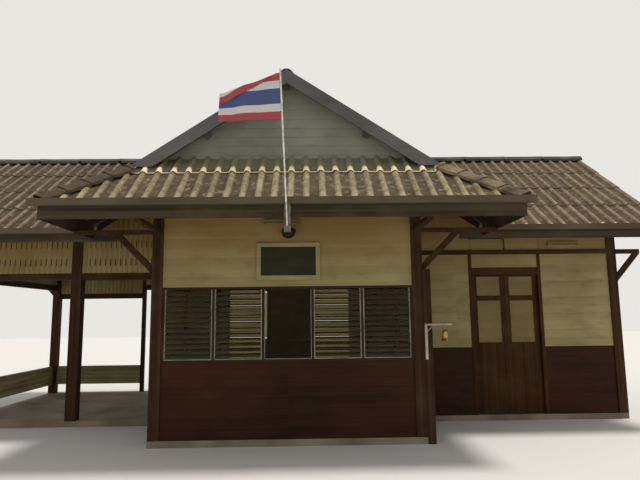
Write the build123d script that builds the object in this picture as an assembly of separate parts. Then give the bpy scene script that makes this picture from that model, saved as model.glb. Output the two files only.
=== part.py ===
from build123d import *
import math
import os

# A small timber railway station. X runs along the platform, Y away from it, Z up from the ground.
# The origin is on the ground under the point where the two ridges cross. All sizes are millimetres.

# Plan, to the outer faces of the walls
main_face = 2000          # front and rear walls, from the main ridge
main_end = 6170           # end walls, from the middle of the building
bay_projection = 1750     # the bay's front wall, from the main front wall
bay_side = 2090           # side walls of the bay, from the middle
wall = 90                 # boarded stud wall
post = 170                # square posts
post_proud = 20           # the posts stand this far outside the boards
hall_bay = 2170           # from an end wall to the middle of the posts that halve the open hall
hall_post = 190
hall_rear_post = 90

# Heights
floor_top = 100
bay_sill = 1240           # top of the dark boards under the bay window
dado_top = 1320           # top of the dark boards elsewhere
window_head = 2390
rear_window_head = 2620
lintel_foot = 2640        # beam under the slotted frieze of the hall
rear_lintel_foot = 2430
lintel_depth = 130
parapet_foot = 310
parapet_top = 750
door_head = 2660
door_head_rail = 140
rail_above_door = 250
wall_rail_height = 85
gable_joint = 300         # the bay's walls end this far below the top of the skirt roof

# Slots in the hall's friezes
slot_rows = (270, 600)    # feet of the two rows, above the foot of the front lintel
slot_width = 18
slot_height = 130
slot_pitch = 95
slot_margin = 120

# Roofs, to the crests of the tiles
main_ridge_z = 5510
main_eave_z = 3470
main_reach = 983          # from the wall to the eaves
verge_reach = 510         # from the end wall to the verge
bay_ridge_z = 5790
bay_eave_z = 3550
bay_reach = 1343
skirt_top_z = 4500        # where the front skirt roof meets the gable wall
skirt_eave_z = 3560
skirt_reach = 1150
gable_overhang = 300
roof_thickness = 60       # tiles and battens
cap_width = 240
cap_height = 45
cap_edge = 35             # upright edge of a ridge cap
cap_crown = 84            # width of its flat top
hip_cap_width = 172
hip_cap_height = 42
hip_cap_sink = 70

# Eaves
drip = 20                 # the tiles reach this far past the eaves board
side_drip = 55            # and this far at the sides of the bay
gutter_depth = 87
gutter_height = 95
gutter_wall = 4
gutter_drop = 100         # from the tiles' edge down to the foot of the gutter
gutter_overhang = 67      # the canopy's gutter passes the tiles at each end
gutter_gap = 37           # from the bay roof's edge to the main gutter
fascia_thickness = 25
canopy_fascia_depth = 280
main_fascia_depth = 240
main_fascia_tuck = 483    # the main eaves board runs in this far under the bay roof
barge_thickness = 30
barge_depth = 230
barge_rise = 25           # the barge board stands this far above the tiles
barge_foot = 2700         # half the span of the bay's barge boards before they are cut

# Double door
door_from_bay = 1308
door_width = 1244
door_jamb = 65
door_frame_proud = 5
leaf_thickness = 40
leaf_gap = 6
leaf_floor_gap = 8
leaf_stile = 84
leaf_top_rail = 24
leaf_sill_z = 1400        # foot of the lower pane
leaf_mid_z = 2180         # top of the lower pane
leaf_upper_z = 2270       # foot of the upper pane
pane_thickness = 12
knuckle_radius = 8
knuckle_length = 45
knuckle_gap = 0.5
hinge_plate = 3
hinge_width = 38
hinge_heights = (420, 1380, 2340)
seat_gap = 0.3

# Bay window
window_units = 5
mullion = 38
window_depth = 70
window_proud = 8
blade_pitch = 81
blade_height = 91
blade_thickness = 6
blade_tilt = 24
blade_margin = 10
channel = 14
channel_depth = 30
glass = 6

# Rear windows
rear_window_width = 1050
rear_window_centres = (-1230, 870, 4100)

# Name board
board_middle_x = 10
board_width = 860
board_height = 450
board_above_window = 170
board_thickness = 25
board_frame = 70
board_frame_proud = 5

# Posts and beams under the canopy
outrigger_width = 80
outrigger_depth = 65
outrigger_drop = 40       # below the foot of the canopy's eaves board
brace_size = 90
brace_width = 70
brace_height = 650
brace_gap = 6             # between the bell post and the brace behind it
end_brace_height = 560
rafter_width = 50
rafter_depth = 105
rafter_pitch = 600
hip_rafter_width = 70
hip_rafter_depth = 150
purlin_width = 60
purlin_depth = 120

# Flagpole
pole_radius = 12
pole_x = 45
pole_lean = 95            # sideways, from foot to top
pole_length = 2320
pole_below_fascia = 210
pole_out = 42             # from the gutter's face to the pole's middle
holder_height = 335
holder_width = 90
holder_depth = 40
holder_foot = 15          # below the foot of the pole
holder_arm = 40
flag_width = 860
flag_height = 640
flag_below_top = 100
flag_top_fall = 330       # the free edge hangs this far below the hoist, at the top
flag_foot_fall = 45       # and at the foot
flag_thickness = 4

# Bell
bell_post_width = 120
bell_post_depth = 70
bell_post_top = 2640
bell_post_back = 10       # its face stands this far in front of the bay's corner post
bell_arm_z = 1790
bell_arm_reach = 420
bell_arm_size = 22
bell_leg_length = 540
bell_stay = 90
bell_stay_width = 18
bell_reach = 310
bell_rod = 4              # radius of its hook and pin
bell_hook = 74
bell_pin = 44
bell_loop = 14
bell_loop_width = 10
bell_loop_drop = 12       # from the pin to the crown
bell_mouth_radius = 66
bell_waist_radius = 41
bell_crown_radius = 37
bell_shoulder = 14
bell_waist_drop = 82
bell_height = 150
bell_wall = 6

# Lamps
lamp_radius = 108
lamp_height = 150
lamp_foot = 3125
lamp_x = 20
lamp_gap = 30             # from the wall to the bowl
lamp_rim = 4
lamp_arm = 30
lamp_neck = 28
tube_length = 590
tube_radius = 13
tube_base = 38
tube_holder = 17          # half the height of the block that holds each end of a tube
bay_tube = (-100, 3390)   # x and z of the middle
main_tube_from_end = 990   # from the building's end to the middle
main_tube_z = 3225

# Worked out
bay_front = main_face + bay_projection
main_eave_y = main_face + main_reach
main_verge = main_end + verge_reach
bay_eave_x = bay_side + bay_reach
skirt_eave_y = bay_front + skirt_reach
gable_base = skirt_top_z - gable_joint
hall_post_x = main_end - hall_bay
door_left = bay_side + post_proud + door_from_bay
wall_rail_foot = door_head + door_head_rail + rail_above_door
board_foot = window_head + board_above_window
front_post_y = -(bay_front + post_proud - post / 2)
main_post_y = main_face + post_proud - post / 2
bay_post_x = bay_side + post_proud - post / 2
end_post_x = main_end + post_proud - post / 2
main_slope = (main_ridge_z - main_eave_z) / main_eave_y
bay_slope = (bay_ridge_z - bay_eave_z) / bay_eave_x
skirt_slope = (skirt_top_z - skirt_eave_z) / (skirt_eave_y - bay_front)
main_drop = roof_thickness * math.hypot(1, main_slope)
bay_drop = roof_thickness * math.hypot(1, bay_slope)
skirt_drop = roof_thickness * math.hypot(1, skirt_slope)
rear_gable_y = (main_ridge_z - skirt_top_z) / main_slope
canopy_face = skirt_eave_y - drip
side_face = bay_eave_x - side_drip
main_fascia_face = main_eave_y - drip
canopy_fascia_foot = skirt_eave_z - canopy_fascia_depth
main_fascia_foot = main_eave_z - main_fascia_depth
main_fascia_start = bay_eave_x - main_fascia_tuck
main_gutter_start = bay_eave_x + gutter_gap
outrigger_foot = canopy_fascia_foot - outrigger_drop
pole_foot = canopy_fascia_foot - pole_below_fascia
pole_top = pole_foot + pole_length
bell_post_face = -(bay_front + post_proud + bell_post_back)
bell_post_side = bay_side + post_proud
far = 9000                # longer than the building, for cutting tools


def block(x0, x1, y0, y1, z0, z1):
    """A square-edged piece between two corners."""
    middle = ((x0 + x1) / 2, (y0 + y1) / 2, (z0 + z1) / 2)
    return Pos(*middle) * Box(abs(x1 - x0), abs(y1 - y0), abs(z1 - z0))


def along_x(points, x0, x1):
    """A profile of (y, z) points carried from x0 to x1."""
    face = make_face(Polyline(*[(x0, y, z) for y, z in points], close=True)).faces()[0]
    return Solid.extrude(face, Vector(x1 - x0, 0, 0))


def along_y(points, y0, y1):
    """A profile of (x, z) points carried from y0 to y1."""
    face = make_face(Polyline(*[(x, y0, z) for x, z in points], close=True)).faces()[0]
    return Solid.extrude(face, Vector(0, y1 - y0, 0))


def mirrored(shape):
    return mirror(shape, about=Plane.YZ)


def save(name, *pieces):
    """Writes one sub-part, of one solid or of several that don't touch."""
    solids = [solid for piece in pieces for solid in piece.solids()]
    shape = solids[0] if len(solids) == 1 else Compound(children=solids)
    export_step(shape, f"parts/{name}.step")


def below_main(drop, x0=-main_verge, x1=main_verge, reach=main_eave_y):
    """The space under the main roof's planes, lowered by drop."""
    foot = main_ridge_z - drop - main_slope * reach
    ridge = main_ridge_z - drop
    return along_x([(-reach, 0), (-reach, foot), (0, ridge), (reach, foot), (reach, 0)], x0, x1)


def below_bay(drop, y0, y1, reach=bay_eave_x):
    """The space under the bay roof's side planes, lowered by drop."""
    foot = bay_ridge_z - drop - bay_slope * reach
    ridge = bay_ridge_z - drop
    return along_y([(-reach, 0), (-reach, foot), (0, ridge), (reach, foot), (reach, 0)], y0, y1)


def below_skirt(drop, reach=skirt_eave_y):
    """The space under the front skirt's plane, carried on past the gable wall."""
    foot = skirt_top_z - drop - skirt_slope * (reach - bay_front)
    high = skirt_top_z - drop + skirt_slope * bay_front
    return along_x([(-reach, 0), (-reach, foot), (0, high), (0, 0)], -far, far)


rear_end = rear_gable_y + gable_overhang
front_end = -(bay_front + gable_overhang)
main_outer = below_main(0)
main_inner = below_main(main_drop)
bay_outer = below_bay(0, -skirt_eave_y, rear_gable_y)
bay_inner_space = below_bay(bay_drop, -skirt_eave_y, rear_gable_y)
skirt_outer = below_skirt(0)
skirt_inner = below_skirt(skirt_drop)
in_front = block(-far, far, -far, -bay_front, -10, far)
behind_wall = block(-far, far, -bay_front, far, -10, far)
under_roof = main_inner + (bay_inner_space & behind_wall) + (bay_inner_space & skirt_inner & in_front)


def roof_side(side):
    """One side slope of the bay roof: from the hip in front to the rear gable."""
    slope = below_bay(0, -skirt_eave_y, rear_end) - below_bay(bay_drop, -skirt_eave_y, rear_end)
    slope &= block(0, side * far, -far, far, 0, far)
    slope -= block(-far, far, -far, front_end, 0, far) - skirt_outer
    slope -= main_inner & block(-far, far, -far, rear_gable_y, 0, far)
    slope -= main_outer & block(-far, far, rear_gable_y, far, 0, far)
    return slope


def main_slope_front(side):
    slope = main_outer - main_inner
    slope &= block(0, side * far, -far, 0, 0, far)
    return slope - bay_outer


def main_slope_rear():
    slope = main_outer - main_inner
    slope &= block(-far, far, 0, far, 0, far)
    return slope - bay_outer


bay_right = roof_side(1)
bay_left = mirrored(bay_right)
bay_sides = bay_right + bay_left


def skirt_front():
    slope = skirt_outer - skirt_inner
    slope &= block(-bay_eave_x, bay_eave_x, -skirt_eave_y, -bay_front, 0, far)
    return (slope & bay_outer) - bay_sides


def cap_profile(slope):
    """A bent ridge tile that lies on two slopes."""
    half = cap_width / 2
    fall = slope * half
    crown = cap_crown / 2
    return [(-half, -fall), (0, 0), (half, -fall), (half, cap_edge - fall),
            (crown, cap_height), (-crown, cap_height), (-half, cap_edge - fall)]


def ridge_caps():
    """The main ridge each side of the bay roof, and the bay's own ridge."""
    profile = [(y, z + main_ridge_z) for y, z in cap_profile(main_slope)]
    cap = along_x(profile, 0, main_verge) - below_bay(0, -far, far)
    profile = [(x, z + bay_ridge_z) for x, z in cap_profile(bay_slope)]
    save("ridge_caps", cap, mirrored(cap), along_y(profile, front_end, rear_end))


def hip_cap():
    """The capping on the hip between the skirt and the right side slope."""
    low = Vector(bay_eave_x, -skirt_eave_y, bay_eave_z)
    gable_x = (bay_ridge_z - skirt_top_z) / bay_slope
    high = Vector(gable_x, -bay_front, skirt_top_z)
    run = high - low
    width = hip_cap_width / 2
    crown = width / 2
    frame = Plane(origin=low, x_dir=Vector(0, 0, 1).cross(run).normalized(), z_dir=run.normalized())
    rise = 1 if frame.y_dir.Z > 0 else -1
    foot = -hip_cap_sink * rise
    top = hip_cap_height * rise
    points = [(-width, foot), (width, foot), (width, 0), (crown, top), (-crown, top), (-width, 0)]
    face = frame * make_face(Polyline(*points, close=True))
    cap = Solid.extrude(face.faces()[0], run)
    cap &= block(0, bay_eave_x, -skirt_eave_y, -bay_front, 0, far)
    cap -= below_bay(0, -skirt_eave_y, 0) & skirt_outer
    return cap - below_bay(0, front_end - barge_thickness, 0) - in_front_of_gable()


def in_front_of_gable():
    """Room for the gable's overhang and its barge boards."""
    return block(-far, far, front_end - barge_thickness, 0, 0, far)


def barge_pair(ridge_z, slope, drop_top, depth, half):
    """Both sloping boards of a gable as (across, z) points, in one bent band."""
    top = ridge_z + drop_top
    foot = top - slope * half
    return [(0, top), (half, foot), (half, foot - depth), (0, top - depth),
            (-half, foot - depth), (-half, foot)]


def gable_barges():
    """Barge boards on the front and rear gables of the bay roof, cut to the tiles below."""
    profile = barge_pair(bay_ridge_z, bay_slope, barge_rise, barge_depth, barge_foot)
    front = along_y(profile, front_end - barge_thickness, front_end) - skirt_outer
    rear = along_y(profile, rear_end, rear_end + barge_thickness) - main_outer
    save("bay_barge_boards", front, rear)


def end_barges():
    """Barge boards on the ends of the main roof."""
    reach = main_eave_y
    profile = barge_pair(main_ridge_z, main_slope, barge_rise, barge_depth, reach)
    board = along_x(profile, main_verge, main_verge + barge_thickness)
    save("end_barge_boards", board, mirrored(board))


def gable_walls():
    """Boarded triangles above the front skirt and above the rear slope."""
    half = bay_side + post_proud
    front = block(-half, half, -bay_front, -bay_front + wall, gable_base, far) & bay_inner_space
    rear = block(-far, far, rear_gable_y - wall, rear_gable_y, 0, far)
    rear &= below_bay(bay_drop, -skirt_eave_y, rear_end)
    rear -= main_inner
    rear -= main_slope_rear()
    save("bay_gable_walls", front, max(rear.solids(), key=lambda solid: solid.volume))


def floor():
    slab = block(-main_end - post_proud, main_end + post_proud,
                 -main_face - post_proud, main_face + post_proud, 0, floor_top)
    slab += block(-bay_side - post_proud, bay_side + post_proud,
                  -bay_front - post_proud, -main_face, 0, floor_top)
    save("floor_slab", slab)


def post_at(x, y, size=post, top=far):
    half = size / 2
    return block(x - half, x + half, y - half, y + half, floor_top, top) & under_roof


def posts():
    corners = [(x, front_post_y) for x in (-bay_post_x, bay_post_x)]
    save("bay_posts", *[post_at(x, y, top=gable_base) for x, y in corners])
    spots = [(x, y) for x in (-end_post_x, -bay_post_x, bay_post_x, end_post_x)
             for y in (-main_post_y, main_post_y)]
    save("main_posts", *[post_at(x, y) for x, y in spots])
    y = main_face + post_proud - hall_post / 2
    rear_y = main_face + post_proud - hall_rear_post / 2
    rear_x = hall_post_x - hall_post / 2
    save("hall_posts", post_at(-hall_post_x, -y, hall_post), post_at(-rear_x, rear_y, hall_rear_post))


def bay_walls():
    """The boarded front and sides of the bay, below and above the window band."""
    inside = bay_side + post_proud - post
    front = (-inside, inside, -bay_front, -bay_front + wall)
    dado_front = block(*front, floor_top, bay_sill)
    upper_front = block(*front, window_head, gable_base) & under_roof
    y0 = -bay_front - post_proud + post
    y1 = -main_face - post_proud
    dado = block(bay_side - wall, bay_side, y0, y1, floor_top, dado_top)
    upper = block(bay_side - wall, bay_side, y0, y1, dado_top, far) & under_roof
    save("bay_dado", dado_front, dado, mirrored(dado))
    save("bay_upper_walls", upper_front, upper, mirrored(upper))


def front_walls():
    """The recessed wall right of the bay, each side of the door and above it."""
    y = (-main_face, -main_face + wall)
    near = (bay_side + post_proud, door_left - door_jamb)
    past = (door_left + door_width + door_jamb, main_end + post_proud - post)
    front_dado = [block(*span, *y, floor_top, dado_top) for span in (near, past)]
    save("front_upper", *[block(*span, *y, dado_top, far) & under_roof for span in (near, past)])
    over = block(near[1], past[0], *y, door_head + door_head_rail, far) & under_roof
    save("over_door_panel", over)
    rail_y = (-main_face - post_proud, -main_face)
    rail = block(bay_side + post_proud, past[1], *rail_y, wall_rail_foot, wall_rail_foot + wall_rail_height)
    save("wall_rail", rail)
    return front_dado


def other_walls(front_dado):
    """The right end wall, the rear wall and the wall between office and hall."""
    y = main_face + post_proud - post
    end_dado = block(main_end - wall, main_end, -y, y, floor_top, dado_top)
    save("end_upper", block(main_end - wall, main_end, -y, y, dado_top, far) & under_roof)
    y = (main_face - wall, main_face)
    left = bay_side + post_proud - post
    right = bay_side + post_proud
    spans = ((-left, left), (right, main_end + post_proud - post))
    rear_dado = [block(*span, *y, floor_top, dado_top) for span in spans]
    save("main_dado", *front_dado, end_dado, *rear_dado)
    uppers = [block(*span, *y, dado_top, far) & under_roof for span in spans]
    half = rear_window_width / 2
    for x in rear_window_centres:
        hole = block(x - half, x + half, 0, far, dado_top, rear_window_head)
        uppers = [upper - hole for upper in uppers]
    save("rear_upper", *uppers)
    inner = main_face + post_proud - post
    screen = block(-bay_side, -bay_side + wall, -inner, inner, floor_top, far) & under_roof
    save("hall_wall", screen)


def slotted(x0, x1, y0, y1, foot):
    """One frieze panel of upright boards, with two rows of slots between them."""
    panel = block(x0, x1, y0, y1, foot, far) & under_roof
    count = int((x1 - x0 - slot_margin) / slot_pitch)
    start = (x0 + x1 - slot_width - (count - 1) * slot_pitch) / 2
    for row in slot_rows:
        z = lintel_foot + row
        for index in range(count):
            x = start + index * slot_pitch
            panel -= block(x, x + slot_width, y0 - wall, y1 + wall, z, z + slot_height)
    return panel


def hall():
    """The open waiting hall: lintels, slotted friezes and low parapets."""
    outer = -(main_end + post_proud - post)
    inner = -(bay_side + post_proud)
    front = (-main_face, -main_face + wall)
    rear = (main_face - wall, main_face)
    rear_x = -(hall_post_x - hall_post / 2)
    bays = (
        (outer, -hall_post_x - hall_post / 2, *front, lintel_foot),
        (-hall_post_x + hall_post / 2, inner, *front, lintel_foot),
        (outer, rear_x - hall_rear_post / 2, *rear, rear_lintel_foot),
        (rear_x + hall_rear_post / 2, inner, *rear, lintel_foot),
    )
    y = main_face + post_proud - post
    end = (-main_end, -main_end + wall, -y, y)
    lintels = [block(*bay, bay[-1] + lintel_depth) for bay in bays]
    save("hall_lintels", *lintels, block(*end, lintel_foot, lintel_foot + lintel_depth))
    save("hall_friezes", *[slotted(*bay[:4], bay[4] + lintel_depth) for bay in bays])
    save("hall_frieze_end", block(*end, lintel_foot + lintel_depth, far) & under_roof)
    low = (parapet_foot, parapet_top)
    save("hall_parapets", block(*bays[2][:4], *low), block(*end, *low))


def door_frame():
    """Jambs, head and the fixed halves of six butt hinges."""
    x0 = door_left - door_jamb
    x1 = door_left + door_width + door_jamb
    y = (-main_face - door_frame_proud, -main_face + wall)
    frame = block(x0, x1, *y, floor_top, door_head + door_head_rail)
    frame -= block(door_left, door_left + door_width, -far, 0, floor_top, door_head)
    inner_y = -main_face + wall
    for side in (1, -1):
        edge = door_left if side > 0 else door_left + door_width
        axis_x = edge + side * leaf_gap / 2
        axis_y = inner_y + knuckle_radius + knuckle_gap
        for z in hinge_heights:
            plate = block(edge - side * hinge_width, axis_x, inner_y, inner_y + hinge_plate,
                          z, z + knuckle_length)
            knuckle = Pos(axis_x, axis_y, z + knuckle_length / 2) * Cylinder(knuckle_radius, knuckle_length)
            frame += plate + knuckle
    return frame


def door_leaf(side):
    """One leaf: stiles, rails, solid foot, and its halves of the hinges."""
    mid = door_left + door_width / 2
    edge = door_left if side > 0 else door_left + door_width
    x0 = edge + side * leaf_gap
    x1 = mid - side * leaf_gap / 2
    inner_y = -main_face + wall
    y = (inner_y - leaf_thickness, inner_y)
    leaf = block(x0, x1, *y, floor_top + leaf_floor_gap, door_head - leaf_gap)
    panes = []
    for z0, z1 in ((leaf_sill_z, leaf_mid_z), (leaf_upper_z, door_head - leaf_gap - leaf_top_rail)):
        px = (x0 + side * leaf_stile, x1 - side * leaf_stile)
        leaf -= block(*px, -far, 0, z0, z1)
        middle = inner_y - leaf_thickness / 2
        panes.append(block(*px, middle - pane_thickness / 2, middle + pane_thickness / 2, z0, z1))
    axis_x = edge + side * leaf_gap / 2
    axis_y = inner_y + knuckle_radius + knuckle_gap
    for z in hinge_heights:
        z += knuckle_length + seat_gap
        plate = block(axis_x, x0 + side * hinge_width, inner_y, inner_y + hinge_plate, z, z + knuckle_length)
        knuckle = Pos(axis_x, axis_y, z + knuckle_length / 2) * Cylinder(knuckle_radius, knuckle_length)
        leaf += plate + knuckle
    return leaf, panes


def doors():
    save("door_frame", door_frame())
    for side, name in ((1, "left"), (-1, "right")):
        leaf, panes = door_leaf(side)
        save(f"door_leaf_{name}", leaf)
        save(f"door_panes_{name}", *panes)


def louvre(x0, x1, y, z0, z1):
    """One set of glass blades held by an upright channel at each end."""
    count = int((z1 - z0 - blade_margin) / blade_pitch)
    half = channel_depth / 2
    start = (z0 + z1) / 2 - (count - 1) * blade_pitch / 2
    body = block(x0, x0 + channel, y - half, y + half, z0, z1)
    body += block(x1 - channel, x1, y - half, y + half, z0, z1)
    for index in range(count):
        blade = Box(x1 - x0 - channel, blade_thickness, blade_height)
        body += Pos((x0 + x1) / 2, y, start + index * blade_pitch) * Rot(-blade_tilt, 0, 0) * blade
    return body


def bay_window():
    """Five lights: a clear pane between two pairs of louvres, in a thin metal frame."""
    y0 = -bay_front - window_proud
    y1 = y0 + window_depth
    half = bay_side + post_proud - post
    frame = block(-half, half, y0, y1, bay_sill, window_head)
    unit = (2 * half - mullion) / window_units
    lights = [(-half + mullion + index * unit, -half + (index + 1) * unit) for index in range(window_units)]
    z = (bay_sill + mullion, window_head - mullion)
    for x0, x1 in lights:
        frame -= block(x0, x1, -far, 0, *z)
    save("bay_window_frame", frame)
    middle = (y0 + y1) / 2
    save("bay_louvres", *[louvre(*lights[index], middle, *z) for index in (0, 1, 3, 4)])
    save("bay_clear_pane", block(*lights[2], middle - glass / 2, middle + glass / 2, *z))


def rear_windows():
    """Louvre windows in the rear wall."""
    frames = []
    blades = []
    y0 = main_face - window_depth + window_proud
    y1 = main_face + window_proud
    half = rear_window_width / 2
    z = (dado_top + mullion, rear_window_head - mullion)
    for x in rear_window_centres:
        frame = block(x - half, x + half, y0, y1, dado_top, rear_window_head)
        frame -= block(x - half + mullion, x + half - mullion, 0, far, *z)
        frames.append(frame)
        blades.append(louvre(x - half + mullion, x + half - mullion, (y0 + y1) / 2, *z))
    save("rear_window_frames", *frames)
    save("rear_louvres", *blades)


def name_board():
    half = board_width / 2
    y1 = -bay_front
    y0 = y1 - board_thickness
    spans = (board_middle_x - half, board_middle_x + half)
    board = block(*spans, y0, y1, board_foot, board_foot + board_height)
    outer = block(spans[0] - board_frame, spans[1] + board_frame, y0 - board_frame_proud, y1,
                  board_foot - board_frame, board_foot + board_height + board_frame)
    inner = block(*spans, -far, 0, board_foot, board_foot + board_height)
    save("name_board", board)
    save("name_board_frame", outer - inner)


def eaves():
    """Eaves boards and gutters, with the canopy's a little above the main ones."""
    face = canopy_face
    front = block(-side_face, side_face, -face, -face + fascia_thickness, canopy_fascia_foot, skirt_eave_z)
    save("canopy_fascia", front - skirt_slab() - bay_sides)
    y0 = -face + fascia_thickness
    y1 = -main_fascia_face - seat_gap
    side = block(side_face - fascia_thickness, side_face, y0, y1, canopy_fascia_foot, far) & under_roof
    z = (skirt_eave_z - gutter_drop, skirt_eave_z - gutter_drop + gutter_height)
    reach = bay_eave_x + gutter_overhang
    save("canopy_gutter", gutter_x(-reach, reach, -face, z) - skirt_slab() - bay_sides)
    z = (main_eave_z - gutter_drop, main_eave_z - gutter_drop + gutter_height)
    boards = [side, mirrored(side)]
    gutters = []
    front = (-main_fascia_face, -main_fascia_face + fascia_thickness, main_fascia_foot, main_eave_z)
    board = block(main_fascia_start, main_verge, *front) - main_outer_slab() - bay_sides
    boards += [board, mirrored(board)]
    gutter = gutter_x(main_gutter_start, main_verge, -main_fascia_face, z) - main_outer_slab()
    gutters += [gutter, mirrored(gutter)]
    rear = (main_fascia_face - fascia_thickness, main_fascia_face, main_fascia_foot, main_eave_z)
    boards.append(block(-main_verge, main_verge, *rear) - main_outer_slab())
    gutter = gutter_x(-main_verge, main_verge, -main_fascia_face, z)
    gutters.append(Rot(0, 0, 180) * gutter - main_outer_slab())
    save("eaves_boards", *boards)
    save("main_gutters", *gutters)


def skirt_slab():
    return skirt_outer - skirt_inner


def main_outer_slab():
    return main_outer - main_inner


def gutter_x(x0, x1, back, z):
    """A box gutter with closed ends, open at the top, whose back is at y = back."""
    body = block(x0, x1, back - gutter_depth, back, *z)
    hollow = block(x0 + gutter_wall, x1 - gutter_wall, back - gutter_depth + gutter_wall,
                   back - gutter_wall, z[0] + gutter_wall, far)
    return body - hollow


def canopy_timbers():
    """Beams outward from the bay's posts and the corner posts, and their knee braces."""
    half = outrigger_width / 2
    z = (outrigger_foot, outrigger_foot + outrigger_depth)
    post_face = bay_post_x + post / 2
    forward = block(bay_post_x - half, bay_post_x + half, -canopy_face + fascia_thickness,
                    -bay_front - post_proud, *z)
    sideways = block(post_face, side_face - fascia_thickness, front_post_y - half, front_post_y + half, *z)
    save("canopy_outriggers", forward, mirrored(forward), sideways, mirrored(sideways))
    y0 = bell_post_face + bell_post_depth + brace_gap
    right = brace(post_face, outrigger_foot, brace_height, brace_height, (y0, y0 + brace_width))
    corners = [brace(main_end + post_proud, wall_rail_foot, end_brace_height, verge_reach - post_proud, y)
               for y in (corner_line(-1), corner_line(1))]
    save("knee_braces", right, mirrored(right), *corners, *[mirrored(corner) for corner in corners])
    beams = [block(main_end + post_proud, main_verge, *corner_line(side), wall_rail_foot,
                   wall_rail_foot + wall_rail_height) for side in (-1, 1)]
    save("end_outriggers", *beams, *[mirrored(beam) for beam in beams])


def corner_line(side):
    """Where a beam lies in front of or behind the ridge to meet the middle of a corner post."""
    return side * main_post_y - brace_width / 2, side * main_post_y + brace_width / 2


def brace(x, top, height, reach, y):
    """A knee brace that rises outwards from a post's right face to the foot of a beam."""
    upright = brace_size * math.hypot(height, reach) / reach
    level = brace_size * math.hypot(height, reach) / height
    return along_y([(x, top - height), (x, top - height + upright), (x + reach - level, top),
                    (x + reach, top)], *y)


def spread(start, end, pitch):
    """Evenly spaced places from start to end, no further apart than the pitch."""
    count = math.ceil((end - start) / pitch)
    return [start + index * (end - start) / count for index in range(count + 1)]


def main_tail(x, side):
    """A rafter's end between the main wall and the eaves board."""
    y0 = main_face + post_proud
    y1 = main_fascia_face - fascia_thickness
    top = main_ridge_z - main_drop
    points = [(y0, top - main_slope * y0), (y1, top - main_slope * y1),
              (y1, top - main_slope * y1 - rafter_depth), (y0, top - main_slope * y0 - rafter_depth)]
    half = rafter_width / 2
    return along_x([(side * y, z) for y, z in points], x - half, x + half)


def canopy_tail(x):
    """A rafter's end between the bay's front wall and the canopy's eaves board."""
    y0 = bay_front
    y1 = canopy_face - fascia_thickness
    foot = skirt_top_z - skirt_drop - skirt_slope * (y1 - y0)
    high = skirt_top_z - skirt_drop
    half = rafter_width / 2
    return along_x([(-y0, high), (-y1, foot), (-y1, foot - rafter_depth), (-y0, high - rafter_depth)],
                   x - half, x + half)


def side_tail(y):
    """A rafter's end between the bay's right wall and the board at that side."""
    x0 = bay_side + post_proud
    x1 = side_face - fascia_thickness
    top = bay_ridge_z - bay_drop
    half = rafter_width / 2
    return along_y([(x0, top - bay_slope * x0), (x1, top - bay_slope * x1),
                    (x1, top - bay_slope * x1 - rafter_depth), (x0, top - bay_slope * x0 - rafter_depth)],
                   y - half, y + half)


def hip_rafter():
    """The rafter under the right hip, from the corner post to the corner of the eaves boards."""
    high = Vector(bay_side + post_proud, -bay_front - post_proud, 0)
    low = Vector(side_face - fascia_thickness, -canopy_face + fascia_thickness, 0)
    run = low - high
    across = Vector(-run.Y, run.X, 0).normalized() * (hip_rafter_width / 2)
    corners = (high + across, low + across, low - across, high - across)
    face = make_face(Polyline(*corners, close=True)).faces()[0]
    tall = Solid.extrude(face, Vector(0, 0, far))
    tall &= block(high.X, low.X, low.Y, high.Y, 0, far)
    return (tall & under_roof) - Pos(0, 0, -hip_rafter_depth) * under_roof


def rafters():
    """Rafter ends in view under all the eaves."""
    inner = main_gutter_start + rafter_width
    outer = main_end - post / 2
    front = [main_tail(x, -1) for x in spread(inner, outer, rafter_pitch)]
    rear = [main_tail(x, 1) for x in spread(-outer, outer, rafter_pitch)]
    save("main_rafter_ends", *front, *[mirrored(tail) for tail in front], *rear)
    inner = bay_side - post
    fronts = [canopy_tail(x) & under_roof for x in spread(-inner, inner, rafter_pitch)]
    sides = [side_tail(y) for y in spread(-bay_front + post, -main_fascia_face + post, rafter_pitch)]
    hip = hip_rafter()
    sides.append(hip)
    save("canopy_rafter_ends", *fronts, *sides, *[mirrored(tail) for tail in sides])


def purlin_ends():
    """Purlins that stand out of the gables and carry the barge boards."""
    ends = []
    half = purlin_width / 2
    outer = main_face - post - half
    for y in (-outer, -outer / 2, 0, outer / 2, outer):
        stub = block(main_end, main_verge, y - half, y + half, 0, far) & main_inner
        stub -= Pos(0, 0, -purlin_depth) * main_inner
        ends += [stub, mirrored(stub)]
    for x in (-bay_front / 3, 0, bay_front / 3):
        roof = below_bay(bay_drop, -skirt_eave_y, rear_end)
        for y0, y1 in ((front_end, -bay_front), (rear_gable_y, rear_end)):
            stub = block(x - half, x + half, y0, y1, 0, far) & roof
            stub -= Pos(0, 0, -purlin_depth) * roof
            ends.append(stub)
    save("purlin_ends", *ends)


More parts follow.
